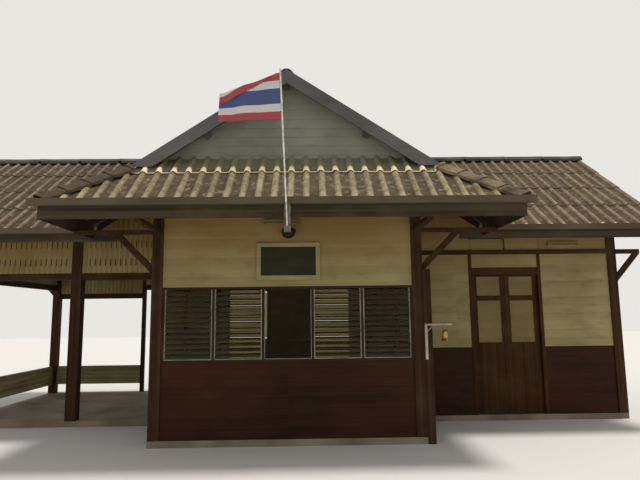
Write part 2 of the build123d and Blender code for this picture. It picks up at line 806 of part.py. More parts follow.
def flagpole():
    """The pole in its holder on the eaves board, and the flag as a plain sheet."""
    y = -(canopy_face + gutter_depth + pole_out)
    length = math.hypot(pole_top - pole_foot, pole_lean)
    lean = math.degrees(math.atan2(pole_lean, pole_top - pole_foot))
    pole = Pos(0, 0, length / 2) * Cylinder(pole_radius, length)
    pole = Pos(pole_x, y, pole_foot) * Rot(0, -lean, 0) * pole
    half = holder_width / 2
    foot = pole_foot - holder_foot
    holder = block(pole_x - half, pole_x + half, y - holder_depth / 2, y + holder_depth / 2,
                   foot, foot + holder_height)
    half = holder_arm / 2
    arm = block(pole_x - half, pole_x + half, y, -canopy_face, canopy_fascia_foot + half,
                canopy_fascia_foot + half + holder_arm)
    save("flagpole", pole + holder + arm)
    top = pole_top - flag_below_top
    x = pole_x - pole_lean * (top - pole_foot) / pole_length - pole_radius - seat_gap
    foot_x = x + pole_lean * flag_height / pole_length
    foot = top - flag_height
    corners = [(x, top), (foot_x, foot), (foot_x - flag_width, foot - flag_foot_fall),
               (x - flag_width, top - flag_top_fall)]
    save("flag", along_y(corners, y - flag_thickness / 2, y + flag_thickness / 2))


def bell():
    """The bell post beside the bay, its white bracket, and the brass bell under the arm."""
    face = bell_post_face
    x = bell_post_side
    save("bell_post", block(x, x + bell_post_width, face, face + bell_post_depth, 0, bell_post_top))
    size = bell_arm_size
    y = (face - size, face)
    foot = bell_arm_z - size
    bracket = block(x, x + size, *y, bell_arm_z - bell_leg_length, bell_arm_z)
    bracket += block(x, x + bell_arm_reach, *y, foot, bell_arm_z)
    bracket += along_y([(x + size, foot - bell_stay - bell_stay_width), (x + size, foot - bell_stay),
                        (x + size + bell_stay, foot), (x + size + bell_stay + bell_stay_width, foot)],
                       y[0] + bell_rod, y[1] - bell_rod)
    middle = (x + bell_reach, face - size / 2)
    bracket += Pos(*middle, foot - bell_hook / 2) * Cylinder(bell_rod, bell_hook)
    hung = Pos(*middle, foot - bell_hook)
    bracket += hung * Rot(0, 90, 0) * Cylinder(bell_rod, bell_pin)
    save("bell_bracket", bracket)
    save("bell", hung * bell_body())


def bell_body():
    """A turned bell, open below, whose two loops hang on a pin at the origin."""
    crown = bell_crown_radius
    shoulder = bell_shoulder
    waist = bell_waist_radius
    lip = bell_mouth_radius
    t = bell_wall
    with BuildPart() as body:
        with BuildSketch(Plane.XZ):
            with BuildLine():
                top = Line((0, 0), (crown - shoulder, 0))
                rounded = RadiusArc(top @ 1, (crown, -shoulder), shoulder)
                flank = Line(rounded @ 1, (waist, -bell_waist_drop))
                flare = Spline(flank @ 1, (lip, -bell_height), tangents=[(0.04, -1), (0.8, -1)])
                mouth = Line(flare @ 1, (lip - t, -bell_height))
                inside = Spline(mouth @ 1, (waist - t, -bell_waist_drop), tangents=[(-0.8, 1), (-0.04, 1)])
                inner_flank = Line(inside @ 1, (crown - t, -shoulder - t))
                ceiling = Line(inner_flank @ 1, (0, -shoulder - t))
                Line(ceiling @ 1, top @ 0)
            make_face()
        revolve(axis=Axis.Z)
    shape = Pos(0, 0, -bell_loop_drop) * body.part
    loop = Rot(0, 90, 0) * (Cylinder(bell_loop, bell_loop_width)
                            - Cylinder(bell_rod + seat_gap, bell_loop_width))
    for x in (-bell_loop, bell_loop):
        shape += Pos(x, 0, 0) * loop
    return shape


def lamp():
    """A dark round bowl lamp on a short arm from the wall of the bay."""
    r = lamp_radius
    widest = lamp_foot + r
    top = lamp_foot + lamp_height
    y = -bay_front - lamp_gap - r
    bowl = Pos(0, 0, widest) * Sphere(r)
    bowl &= Pos(0, 0, lamp_foot + lamp_height / 2) * Cylinder(r, lamp_height)
    rim = Pos(0, 0, widest) * Cylinder(r + lamp_rim, lamp_rim * 3)
    neck = Pos(0, 0, top) * Cylinder(lamp_neck, lamp_arm * 2)
    half = lamp_arm / 2
    arm = block(lamp_x - half, lamp_x + half, y, -bay_front, top, top + lamp_arm)
    save("canopy_lamp", Pos(lamp_x, y, 0) * (bowl + rim + neck) + arm)


def tube_lights():
    """Two tube lights on flat bases, one on the bay and one on the recessed wall."""
    lights = []
    half = tube_length / 2
    base = tube_base
    r = tube_radius
    main_tube = (main_end - main_tube_from_end, main_tube_z)
    for face, (x, z) in ((-bay_front, bay_tube), (-main_face, main_tube)):
        top = z + tube_holder
        light = block(x - half, x + half, face - base, face, top, top + base)
        for x0 in (x - half, x + half - 2 * r):
            light += block(x0, x0 + 2 * r, face - base, face, z - tube_holder, top)
        light += Pos(x, face - base / 2, z) * Rot(0, 90, 0) * Cylinder(r, tube_length - 2 * r)
        lights.append(light)
    save("tube_lights", *lights)


os.makedirs("parts", exist_ok=True)
floor()
posts()
bay_walls()
other_walls(front_walls())
hall()
doors()
bay_window()
rear_windows()
name_board()
gable_walls()
save("main_roof_front_left", main_slope_front(-1))
save("main_roof_front_right", main_slope_front(1))
save("main_roof_rear", main_slope_rear())
save("bay_roof_left", bay_left)
save("bay_roof_right", bay_right)
save("canopy_skirt_roof", skirt_front())
ridge_caps()
right_hip = hip_cap()
save("hip_caps", right_hip, mirrored(right_hip))
gable_barges()
end_barges()
eaves()
canopy_timbers()
rafters()
purlin_ends()
flagpole()
bell()
lamp()
tube_lights()
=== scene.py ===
import math
import random

import bpy
from mathutils import Matrix, Vector


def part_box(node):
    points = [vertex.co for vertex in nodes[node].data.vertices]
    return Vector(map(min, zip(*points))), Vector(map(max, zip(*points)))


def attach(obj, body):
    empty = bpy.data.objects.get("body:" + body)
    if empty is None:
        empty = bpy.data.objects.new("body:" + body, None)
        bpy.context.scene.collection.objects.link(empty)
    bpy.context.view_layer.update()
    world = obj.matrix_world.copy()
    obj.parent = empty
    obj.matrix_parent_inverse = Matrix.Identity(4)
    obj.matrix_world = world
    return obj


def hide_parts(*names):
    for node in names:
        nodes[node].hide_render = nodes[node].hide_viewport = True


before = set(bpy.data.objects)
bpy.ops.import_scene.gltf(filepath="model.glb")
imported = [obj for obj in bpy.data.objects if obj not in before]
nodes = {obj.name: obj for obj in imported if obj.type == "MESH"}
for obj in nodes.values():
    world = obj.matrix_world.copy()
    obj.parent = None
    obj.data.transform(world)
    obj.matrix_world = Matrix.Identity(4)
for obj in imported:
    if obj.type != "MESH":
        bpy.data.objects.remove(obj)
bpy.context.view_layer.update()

# Place and light. The building stands on a plain pale floor under a wide, even sky, with one soft
# lamp high over it, so that paint and timber show in about their own colours.
ground_colour = "#d9d5cd"
ground_size = 90
sky_seen = "#e9e7e2"
sky_lit = "#ffffff"
sky_strength = 0.55
sun_from = Vector((2.5, 0.6, 12.0))
sun_spread = 10
sun_strength = 2.4


def linear(code):
    """A colour written as an sRGB hex value, in the linear form that a shader takes."""
    parts = [int(code[start:start + 2], 16) / 255 for start in (1, 3, 5)]
    return [part / 12.92 if part <= 0.04045 else ((part + 0.055) / 1.055) ** 2.4 for part in parts] + [1.0]


def add(tree, kind, inputs=(), **settings):
    """Adds one node with its settings, and gives its outputs. An input is a value or another's output."""
    made = tree.nodes.new("ShaderNode" + kind)
    for setting, value in settings.items():
        setattr(made, setting, value)
    for name, value in inputs.items() if isinstance(inputs, dict) else enumerate(inputs):
        if isinstance(value, bpy.types.NodeSocket):
            tree.links.new(value, made.inputs[name])
        else:
            made.inputs[name].default_value = value
    return made.outputs


def new_material(name, roughness, sockets=None):
    """A material, and the place on the building that its patterns read."""
    made = bpy.data.materials.new(name)
    made.use_nodes = True
    shader = made.node_tree.nodes["Principled BSDF"]
    for socket, value in {"Roughness": roughness, **(sockets or {})}.items():
        shader.inputs[socket].default_value = value
    return made, add(made.node_tree, "TexCoord")["Object"]


bpy.ops.object.select_all(action="DESELECT")
bpy.ops.mesh.primitive_plane_add(size=ground_size, location=(0, 0, 0))
ground = bpy.context.object
ground.name = "ground"
ground_paint = new_material("matt floor paint", 0.9, {"Base Color": linear(ground_colour)})[0]
ground.data.materials.append(ground_paint)

world = bpy.data.worlds.new("open sky")
bpy.context.scene.world = world
world.use_nodes = True
tree = world.node_tree
tree.nodes.clear()
lit = add(tree, "Background", {"Color": linear(sky_lit), "Strength": sky_strength})
seen = add(tree, "Background", {"Color": linear(sky_seen), "Strength": 1.0})
path = add(tree, "LightPath")
direct = add(tree, "Math", (path["Is Camera Ray"], path["Is Glossy Ray"]), operation="ADD")
either = add(tree, "Math", (direct[0], path["Is Transmission Ray"]), operation="ADD", use_clamp=True)
sky = add(tree, "MixShader", (either[0], lit[0], seen[0]))
add(tree, "OutputWorld", {"Surface": sky[0]})

bpy.ops.object.light_add(type="SUN", location=sun_from)
key = bpy.context.object
key.data.energy = sun_strength
key.data.angle = math.radians(sun_spread)
key.rotation_euler = sun_from.to_track_quat("Z", "Y").to_euler()

# Camera. It stands where the photograph was taken, with the lens of a small camera, and looks up a
# little. The horizon lies some pixels below the middle of the frame.
eye = Vector((0.33, -12.35, 1.927))
frame_width = 640
focal_pixels = 550
horizon_drop = 76
yaw = math.radians(1.2)
roll = 0.0115
sensor = 36
far_clip = 200

bpy.ops.object.camera_add(location=eye)
camera = bpy.context.object
camera.data.sensor_width = sensor
camera.data.lens = sensor * focal_pixels / frame_width
camera.data.clip_end = far_clip
pitch = math.atan(horizon_drop / focal_pixels)
aim = Matrix.Rotation(-yaw, 4, "Z") @ Matrix.Rotation(math.pi / 2 + pitch, 4, "X")
camera.matrix_world = Matrix.Translation(eye) @ aim @ Matrix.Rotation(-roll, 4, "Z")
bpy.context.scene.camera = camera
bpy.context.scene.view_settings.view_transform = "Standard"

# Floor slab. It is cast concrete, trowelled smooth and worn by feet. It looks matt and grey-brown, with
# broad damp stains and a fine dark grit.
slab_pale = "#9a8c78"
slab_dark = "#6b5c48"
slab_grit = 0.0015


def patches(place, per_metre, low, high, detail=4.0, stretch=(1, 1, 1)):
    """A mask in soft patches, so many to a metre. It is 0 where the noise is under low, and 1 over high."""
    tree = place.id_data
    turned = add(tree, "Mapping", {"Vector": place, "Scale": stretch})
    noise = add(tree, "TexNoise", {"Vector": turned["Vector"], "Scale": per_metre, "Detail": detail})
    return add(tree, "MapRange", {"Value": noise["Fac"], "From Min": low, "From Max": high})["Result"]


def layer(under, top, mask, share=1.0):
    """Lays one colour over another where a mask says, times the share that it covers at most."""
    tree = mask.id_data
    under, top = (linear(colour) if isinstance(colour, str) else colour for colour in (under, top))
    if share < 1:
        mask = add(tree, "Math", (mask, share), operation="MULTIPLY")[0]
    return add(tree, "Mix", {0: mask, 6: under, 7: top}, data_type="RGBA")[2]


def surface(made, colour, height=None, depth=0.0):
    """Gives a material its colour, and a fine relief of about this depth in metres."""
    tree = made.node_tree
    shader = tree.nodes["Principled BSDF"]
    tree.links.new(colour, shader.inputs["Base Color"])
    if depth:
        bump = add(tree, "Bump", {"Height": height, "Distance": depth})
        tree.links.new(bump["Normal"], shader.inputs["Normal"])
    return made


def show(material, *names):
    """Gives pieces of the frame that stay in view a material of their own."""
    for name in names:
        for slot in nodes[name].material_slots:
            slot.material = material


concrete, place = new_material("trowelled concrete", 0.85)
speckle = patches(place, 60, 0.3, 0.8)
colour = layer(slab_pale, slab_dark, patches(place, 1.3, 0.35, 0.7))
surface(concrete, layer(colour, slab_dark, speckle, 0.25), speckle, slab_grit)
show(concrete, "floor_slab")

# Posts, lintels, braces and rafters. They are sawn hardwood, stained dark brown and weathered. The
# grain runs along each piece, drawn coarse enough to show, and is greyer where sun and rain reach it.
stain_dark = "#2c1b0e"
stain_mid = "#4c3320"
stain_grey = "#5d4a38"
stain_shine = 0.12
grain_width = 0.012
grain_length = 0.9
grain_depth = 0.0012
bloom_share = 0.4


def stained_timber(name, along, dark=stain_dark, mid=stain_mid, grey=stain_grey):
    """Stained hardwood: nearly matt, with fine streaks along the grain and a grey bloom in patches."""
    made, place = new_material(name, 0.78, {"Specular IOR Level": stain_shine})
    stretch = [grain_width / grain_length if axis in along else 1.0 for axis in "XYZ"]
    streaks = patches(place, 1 / grain_width / 4, 0.3, 0.72, 6.0, stretch)
    bloom = patches(place, 2.2, 0.48, 0.78)
    colour = layer(layer(dark, mid, streaks), grey, bloom, bloom_share)
    return surface(made, colour, streaks, grain_depth)


show(stained_timber("stained hardwood, upright", "Z"), "bay_posts", "main_posts", "hall_posts", "bell_post")
show(stained_timber("stained hardwood, level", "XY"), "hall_lintels", "wall_rail", "end_outriggers",
     "knee_braces")
show(stained_timber("stained hardwood, front to back", "Y"), "canopy_outriggers", "main_rafter_ends",
     "canopy_rafter_ends")

# Wall boards. They are lapped softwood boards, nailed on from the foot up, each covering the top of
# the one below. The dado is in dark red-brown oil paint, with a low sheen and worn patches.
board_show = 0.150
board_lap = 0.015
board_foot = 0.010
board_top = 0.006
board_lean = 0.0045
board_edge = 0.002
board_room = board_foot + board_lean + 0.001
board_run = 3.1
# Painted shade under the eaves: the cream is drawn darker and browner from the first height up to the second.
eave_shade_from = 2.4
eave_shade_to = 3.7
paint_shine = 0.1
dado_paint = "#391d0b"
dado_dark = "#201105"
dado_worn = "#482915"
brush_width = 0.006
brush_stretch = 0.03
brush_depth = 0.0006
crease = math.radians(35)
weld = 0.0002
near = 0.001
age_share = 0.22
brush_share = 0.18
eave_shade_share = 0.85


def old_paint(name, fresh, dull, dirt, roughness, dirty=0.5, level=True, eave_shade=None):
    """Oil paint on boards: a low sheen, brush marks along each board, boards of unlike age, and painted shade
    that darkens it towards the eaves when a shade colour is given.
    """
    made, place = new_material(name, roughness, {"Specular IOR Level": paint_shine})
    tree = made.node_tree
    stretch = (brush_stretch, brush_stretch, 1.0) if level else (1.0, 1.0, brush_stretch)
    brush = patches(place, 1 / brush_width / 4, 0.35, 0.75, 5.0, stretch)
    grime = patches(place, 2.6, 0.52, 0.82, 8.0, (1.0, 1.0, 2.2))
    axes = add(tree, "SeparateXYZ", (place,))
    counts = []
    for axis, size in (("Z" if level else "X", board_show), ("X", board_run)):
        boards = add(tree, "Math", (axes[axis], size), operation="DIVIDE")
        counts.append(add(tree, "Math", (boards[0],), operation="FLOOR")[0])
    number = add(tree, "Math", counts, operation="ADD")[0]
    age = add(tree, "TexWhiteNoise", {"W": number}, noise_dimensions="1D")["Value"]
    colour = layer(fresh, dull, patches(place, 0.9, 0.35, 0.7))
    for mask, share in ((age, age_share), (brush, brush_share), (grime, dirty)):
        colour = layer(colour, dirt, mask, share)
    # Painted shade: darker and browner from the first height up towards the eaves.
    if eave_shade:
        height = {"Value": axes["Z"], "From Min": eave_shade_from, "From Max": eave_shade_to}
        colour = layer(colour, eave_shade, add(tree, "MapRange", height)["Result"], eave_shade_share)
    return surface(made, colour, brush, brush_depth)


def only(piece):
    """Makes this piece the only one chosen."""
    bpy.ops.object.select_all(action="DESELECT")
    bpy.context.view_layer.objects.active = piece
    piece.select_set(True)


def opened(piece):
    """Opens a piece for editing with all of it chosen."""
    only(piece)
    bpy.ops.object.mode_set(mode="EDIT")
    bpy.ops.mesh.select_all(action="SELECT")


def pick(piece, kind, test):
    """Opens a piece for editing with only the corners, edges or faces chosen that pass a test."""
    only(piece)
    mesh = piece.data
    for group in (mesh.vertices, mesh.edges, mesh.polygons):
        group.foreach_set("select", [False] * len(group))
    if kind == "VERT":
        for corner in mesh.vertices:
            corner.select = test(corner.co)
    elif kind == "EDGE":
        for edge in mesh.edges:
            ends = [mesh.vertices[index] for index in edge.vertices]
            if test((ends[0].co + ends[1].co) / 2):
                for chosen in (edge, *ends):
                    chosen.select = True
    else:
        for face in mesh.polygons:
            face.select = test(face.center, face.normal)
    bpy.context.tool_settings.mesh_select_mode = (kind == "VERT", kind == "EDGE", kind == "FACE")
    bpy.ops.object.mode_set(mode="EDIT")


def done():
    """Closes a piece after editing."""
    bpy.ops.object.mode_set(mode="OBJECT")


def shift(piece, test, x=0.0, y=0.0, z=0.0):
    """Moves the corners that pass a test."""
    pick(piece, "VERT", test)
    bpy.ops.transform.translate(value=(x, y, z))
    done()


def bevel(piece, kind, test, width, segments=2):
    """Planes off the edges that pass a test, or those round the faces that do."""
    pick(piece, kind, test)
    bpy.ops.mesh.bevel(offset=width, segments=segments, affect="EDGES")
    done()


def settle(piece):
    """Puts a piece's place and turn into its mesh, so that its origin is the building's."""
    only(piece)
    bpy.ops.object.transform_apply(location=True, rotation=True, scale=True)


def modify(piece, kind, **settings):
    """Adds one modifier with its settings and applies it."""
    only(piece)
    modifier = piece.modifiers.new(kind.title(), kind)
    for setting, value in settings.items():
        setattr(modifier, setting, value)
    bpy.ops.object.modifier_apply(modifier=modifier.name)


def row_of(piece, count, x=0.0, z=0.0):
    """Repeats a piece along a line."""
    modify(piece, "ARRAY", use_relative_offset=False, use_constant_offset=True,
           constant_offset_displace=(x, 0, z), count=count)


def past(axis, place, way):
    """A plane square to an axis, for a saw that takes off what lies past it on its plus or minus side."""
    point, out = Vector(), Vector()
    point["xyz".index(axis)] = place
    out["xyz".index(axis)] = way
    return point, out


def trim(piece, point, out):
    """Saws off what lies past a plane, and closes the cut."""
    opened(piece)
    bpy.ops.mesh.bisect(plane_co=point, plane_no=out, use_fill=True, clear_outer=True)
    done()


def joined(pieces):
    """Makes one piece of several."""
    only(pieces[0])
    for piece in pieces[1:]:
        piece.select_set(True)
    if len(pieces) > 1:
        bpy.ops.object.join()
    return pieces[0]


def trim_each(piece, cuts):
    """Saws lapped boards or caps one at a time, so that each cut closes where they overlap."""
    opened(piece)
    bpy.ops.mesh.separate(type="LOOSE")
    done()
    kept = []
    for part in list(bpy.context.selected_objects):
        for point, out in cuts:
            if len(part.data.vertices) > 0:
                trim(part, point, out)
        if len(part.data.vertices) > 0:
            kept.append(part)
        else:
            bpy.data.objects.remove(part)
    return joined(kept)


def plain_block(low, high):
    """A square block between two corners, from which a piece is shaped."""
    bpy.ops.object.select_all(action="DESELECT")
    bpy.ops.mesh.primitive_cube_add(size=1, location=(0, 0, 0))
    piece = bpy.context.object
    opened(piece)
    bpy.ops.transform.resize(value=Vector(high) - Vector(low))
    bpy.ops.transform.translate(value=(Vector(low) + Vector(high)) / 2)
    done()
    return piece


def boarding(start, end, foot, head, face, turn=0, cuts=()):
    """Lapped boards on one stretch of wall. Turn 0 faces the front, 90 the right end, 180 the rear."""
    side = -1 if turn in (180, -90) else 1
    left, right = sorted((side * start, side * end))
    board = plain_block((left, -board_foot, foot), (right, 0, foot + board_show + board_lap))
    middle = foot + board_show / 2
    shift(board, lambda co: co.z > middle and co.y < -board_foot / 2, y=board_foot - board_top)
    shift(board, lambda co: co.z < middle, y=-board_lean)
    bevel(board, "EDGE", lambda co: co.z < foot + board_edge and co.y < -board_foot, board_edge)
    row_of(board, max(1, math.ceil((head - foot) / board_show)), z=board_show)
    trim(board, *past("z", head, 1))
    board.rotation_euler.z = math.radians(turn)
    out = Matrix.Rotation(math.radians(turn), 4, "Z") @ Vector((0, -1, 0))
    board.location = out * (abs(face) - board_room)
    settle(board)
    return trim_each(board, cuts) if cuts else board


def core(name, *faces):
    """A copy of a piece of the frame, with the faces that are named moved in to make room for boards."""
    piece = bpy.data.objects.new(name, nodes[name].data.copy())
    bpy.context.scene.collection.objects.link(piece)
    opened(piece)
    bpy.ops.mesh.remove_doubles(threshold=weld)
    done()
    for axis, face in faces:
        side = "xyz".index(axis)
        move = past(axis, 0, -math.copysign(board_room, face))[1]
        shift(piece, lambda co: abs(co[side] - face) < near, *move)
    return piece


def finish(name, piece, material, slot, *replaced, edge=None):
    """Names a finished piece, paints it, sets it on the root body, and hides the frame pieces that it takes
    the place of.
    """
    piece.name = name
    piece.data.name = name
    piece.data.materials.clear()
    piece.data.materials.append(material)
    if edge:
        piece.data.materials.append(edge)
    only(piece)
    bpy.ops.object.shade_smooth_by_angle(angle=crease)
    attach(piece, "root")
    if replaced:
        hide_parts(*replaced)


def boarded(name, node, faces, runs, paint, slot="cream_boards", beads=()):
    """Finishes one wall: its plain core, with boards on the runs that are given as boarding takes them."""
    pieces = [core(node, *faces)] + [boarding(*run) for run in runs]
    finish(name, joined(pieces + list(beads)), paint, slot, node)


slab_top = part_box("floor_slab")[1].z
bay_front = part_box("bay_dado")[0].y
bay_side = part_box("bay_dado")[1].x
bay_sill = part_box("bay_window_frame")[0].z
window_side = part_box("bay_window_frame")[1].x
post_side, bay_behind_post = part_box("bay_posts")[1].xy
wall_end, wall_face, dado_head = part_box("main_dado")[1]
door_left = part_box("door_frame")[0].x
door_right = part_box("door_frame")[1].x
end_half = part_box("end_upper")[1].y
wall_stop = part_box("wall_rail")[1].x
bay_back = -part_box("main_posts")[1].y
bay_faces = (("y", bay_front), ("x", bay_side), ("x", -bay_side))
front_runs = ((post_side, door_left), (door_right, wall_stop))
rear_runs = ((-window_side, window_side), (post_side, wall_stop))
dado_red = old_paint("dark red-brown oil paint", dado_paint, dado_dark, dado_worn, 0.5, 0.35)

runs = [(-window_side, window_side, slab_top, bay_sill, bay_front)]
runs += [(bay_behind_post, bay_back, slab_top, dado_head, bay_side, turn) for turn in (90, -90)]
boarded("bay_dado_boards", "bay_dado", bay_faces, runs, dado_red, "dado_boards")
runs = [(*run, slab_top, dado_head, wall_face) for run in front_runs]
runs += [(*run, slab_top, dado_head, wall_face, 180) for run in rear_runs]
runs.append((-end_half, end_half, slab_top, dado_head, wall_end, 90))
faces = (("y", -wall_face), ("y", wall_face), ("x", wall_end))
boarded("main_dado_boards", "main_dado", faces, runs, dado_red, "dado_boards")

# Upper walls. Cream boards, gone dull, go on above the dado and up into the gables. They are drawn darker and
# browner towards the eaves as painted shade under the roofs. Beads edge them over the bay window, and the
# bay's gables were painted grey-green.
cream_paint = "#ada074"
cream_dull = "#918459"
cream_dirt = "#5d4f2c"
# Painted shade: the brown that the cream turns towards the eaves.
cream_eave_shade = "#8c6d38"
gable_paint = "#9c9f8f"
gable_dull = "#83877a"
gable_dirt = "#5f5f4c"
bay_eave_z = 3.55
main_eave_z = 3.47
roof_thick = 0.060
head_gap = 0.010
rear_window_centres = (-1.230, 0.870, 4.100)
rear_window_half = 0.525
jamb_wide = 0.060
bead_wide = 0.028
bead_proud = 0.006
flush = 0.9
cream = old_paint("old cream oil paint", cream_paint, cream_dull, cream_dirt, 0.55, eave_shade=cream_eave_shade)
gable_grey = old_paint("weathered grey-green oil paint", gable_paint, gable_dull, gable_dirt, 0.7)

verge, main_eave, main_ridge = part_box("main_roof_rear")[1]
bay_eave, rear_end, bay_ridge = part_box("bay_roof_right")[1]
main_slope = (main_ridge - main_eave_z) / main_eave
bay_slope = (bay_ridge - bay_eave_z) / bay_eave
under_main = main_ridge - roof_thick * math.hypot(1, main_slope)
under_bay = bay_ridge - roof_thick * math.hypot(1, bay_slope)
main_gable_cuts = [((0, 0, under_main), (0, side * main_slope, 1)) for side in (1, -1)]
bay_gable_cuts = [((0, 0, under_bay), (side * bay_slope, 0, 1)) for side in (1, -1)]
level_head = under_main - main_slope * wall_face - head_gap
side_head = under_bay - bay_slope * bay_side - head_gap / 2
window_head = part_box("bay_window_frame")[1].z
rear_window_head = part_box("rear_window_frames")[1].z
door_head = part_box("door_frame")[1].z
gable_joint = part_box("bay_gable_walls")[0].z
rear_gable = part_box("bay_gable_walls")[1].y
rear_foot = main_ridge - main_slope * rear_gable + head_gap

inside = window_side - bead_wide
beads = []
for left, right, foot, head in ((-window_side, -inside, window_head, gable_joint),
                                (inside, window_side, window_head, gable_joint),
                                (-inside, inside, window_head, window_head + bead_wide)):
    strip = plain_block((left, bay_front - bead_proud, foot), (right, bay_front + board_room, head))
    bevel(strip, "FACE", lambda centre, normal: normal.y < -flush, bead_proud / 2)
    beads.append(strip)
runs = [(-inside, inside, window_head + bead_wide, gable_joint, bay_front)]
runs += [(bay_behind_post, bay_back, dado_head, side_head, bay_side, turn) for turn in (90, -90)]
boarded("bay_upper_boards", "bay_upper_walls", bay_faces, runs, cream, beads=beads)
front_face = [("y", -wall_face)]
runs = [(*run, dado_head, level_head, wall_face) for run in front_runs]
boarded("front_upper_boards", "front_upper", front_face, runs, cream)
runs = [(door_left + jamb_wide, door_right - jamb_wide, door_head, level_head, wall_face)]
boarded("over_door_boards", "over_door_panel", front_face, runs, cream)
runs = [(-end_half, end_half, dado_head, main_ridge, wall_end, 90, main_gable_cuts)]
boarded("end_upper_boards", "end_upper", [("x", wall_end)], runs, cream)

runs = []
for start, end in rear_runs:
    edges = [start, end]
    for centre in rear_window_centres:
        if start < centre < end:
            edges += [centre - rear_window_half, centre + rear_window_half]
    edges.sort()
    for left, right in zip(edges[::2], edges[1::2]):
        runs.append((left, right, dado_head, rear_window_head, wall_face, 180))
    runs.append((start, end, dado_head, level_head, wall_face, 180, [past("z", rear_window_head, -1)]))
boarded("rear_upper_boards", "rear_upper", [("y", wall_face)], runs, cream)
runs = [(-end_half, end_half, slab_top, main_ridge, bay_side, -90, main_gable_cuts)]
boarded("hall_wall_boards", "hall_wall", [("x", -bay_side)], runs, cream)
runs = [(-post_side, post_side, gable_joint, bay_ridge, bay_front, 0, bay_gable_cuts),
        (-post_side, post_side, rear_foot, bay_ridge, rear_gable, 180, bay_gable_cuts)]
faces = (("y", bay_front), ("y", rear_gable))
boarded("bay_gable_boards", "bay_gable_walls", faces, runs, gable_grey)

# Hall panels. The open hall is closed above its lintels by upright matched boards, with two rows of
# slots cut for air, and low down on two sides by level boards. All are in the walls' old cream paint.
groove_width = 0.008
groove_depth = 0.004
slot_pitch = 0.095
slot_margin = 0.120
parapet_board = 0.110
parapet_joints = 3
wall_thick = 0.090
hall_post = -4.0
hall_post_room = 0.095
hall_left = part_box("hall_friezes")[0].x
parapet_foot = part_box("hall_parapets")[0].z
upright_cream = old_paint("old cream oil paint, upright", cream_paint, cream_dull, cream_dirt, 0.55,
                          level=False, eave_shade=cream_eave_shade)


def grooved(name, node, axis, joints, faces, paint):
    """Finishes a boarded panel, with a V groove cut down each of its faces at each joint."""
    piece = core(node)
    number = "xyz".index(axis)
    opened(piece)
    for joint in joints:
        for place in (joint - groove_width / 2, joint, joint + groove_width / 2):
            point, out = past(axis, place, 1)
            bpy.ops.mesh.select_all(action="SELECT")
            bpy.ops.mesh.bisect(plane_co=point, plane_no=out)
    done()
    for face_axis, face, inward in faces:
        side = "xyz".index(face_axis)

        def in_groove(co):
            return abs(co[side] - face) < near and any(abs(co[number] - joint) < near / 2 for joint in joints)

        shift(piece, in_groove, *past(face_axis, 0, inward * groove_depth)[1])
    finish(name, piece, paint, "cream_boards", node)


def board_joints(low, high):
    """The joints between upright boards, halfway between the slots."""
    count = int((high - low - slot_margin) / slot_pitch)
    first = (low + high) / 2 - count * slot_pitch / 2
    return [first + index * slot_pitch for index in range(count + 1)]


joints = board_joints(hall_left, hall_post - hall_post_room)
joints += board_joints(hall_post + hall_post_room, -post_side)
rear_faces = [("y", wall_face, -1), ("y", wall_face - wall_thick, 1)]
end_faces = [("x", -wall_end, 1), ("x", wall_thick - wall_end, -1)]
both_faces = [("y", -wall_face, 1), ("y", wall_thick - wall_face, -1), *rear_faces]
grooved("hall_frieze_boards", "hall_friezes", "x", joints, both_faces, upright_cream)
joints = board_joints(-end_half, end_half)
grooved("hall_end_boards", "hall_frieze_end", "y", joints, end_faces, upright_cream)
joints = [parapet_foot + parapet_board * (number + 1) for number in range(parapet_joints)]
grooved("hall_parapet_boards", "hall_parapets", "z", joints, end_faces + rear_faces, cream)

# Windows. Glass blades lie in clips on aluminium channels and are set half open. Their ground edges are drawn
# pale, which is partly the real ground glass and partly a painted glint along each blade. The middle light of
# the bay is one clear pane, and the rear blades are obscured. The frames are dark bronze, and the bare
# aluminium is dull, with fine lines along it from drawing.
aluminium_pale = "#a8a496"
aluminium_dull = "#6f6a5a"
draw_line = 0.002
draw_stretch = 0.02
draw_depth = 0.0002
blade_pitch = 0.081
blade_height = 0.091
blade_thickness = 0.005
blade_edge = 0.0015
blade_tilt = math.radians(-36)
blade_room = 0.010
channel = 0.014
channel_half = 0.015
channel_wall = 0.003
clip_depth = 0.016
clip_thickness = 0.004
clip_short = 0.012
clip_round = 0.005
glass_tint = "#a59a74"
obscured_tint = "#8f8a6c"
clear_tint = "#c9c5ae"
dust_film = "#7d7a68"
# The pale of the ground edges, partly a painted glint.
ground_edge_and_glint = "#8b8a70"
ground_dark = "#57553f"
glass_shine = "#7f735a"
glass_ior = 1.5
bead = 0.012
mullion = 0.038
bay_lights = 5
bronze_dark = "#2a1c10"
bronze_dull = "#231609"
bronze_worn = "#4d3b28"


def window_glass(name, tint, roughness, dust, clearness=1.0):
    """Window glass: clear, slightly uneven, with a film of dust that greys it."""
    sockets = {"Transmission Weight": clearness, "IOR": glass_ior, "Specular Tint": linear(glass_shine)}
    made, place = new_material(name, roughness, sockets)
    return surface(made, layer(tint, dust_film, patches(place, 3.0, 0.4, 0.75, 6.0), dust))


def clouded(name, roughness, metallic, pale, dark, cloud, depth=0.0):
    """A plain finish in two tones that drift into each other, in soft clouds that also lift it a little."""
    made, place = new_material(name, roughness, {"Metallic": metallic})
    cloudy = patches(place, *cloud)
    return surface(made, layer(pale, dark, cloudy), cloudy, depth)


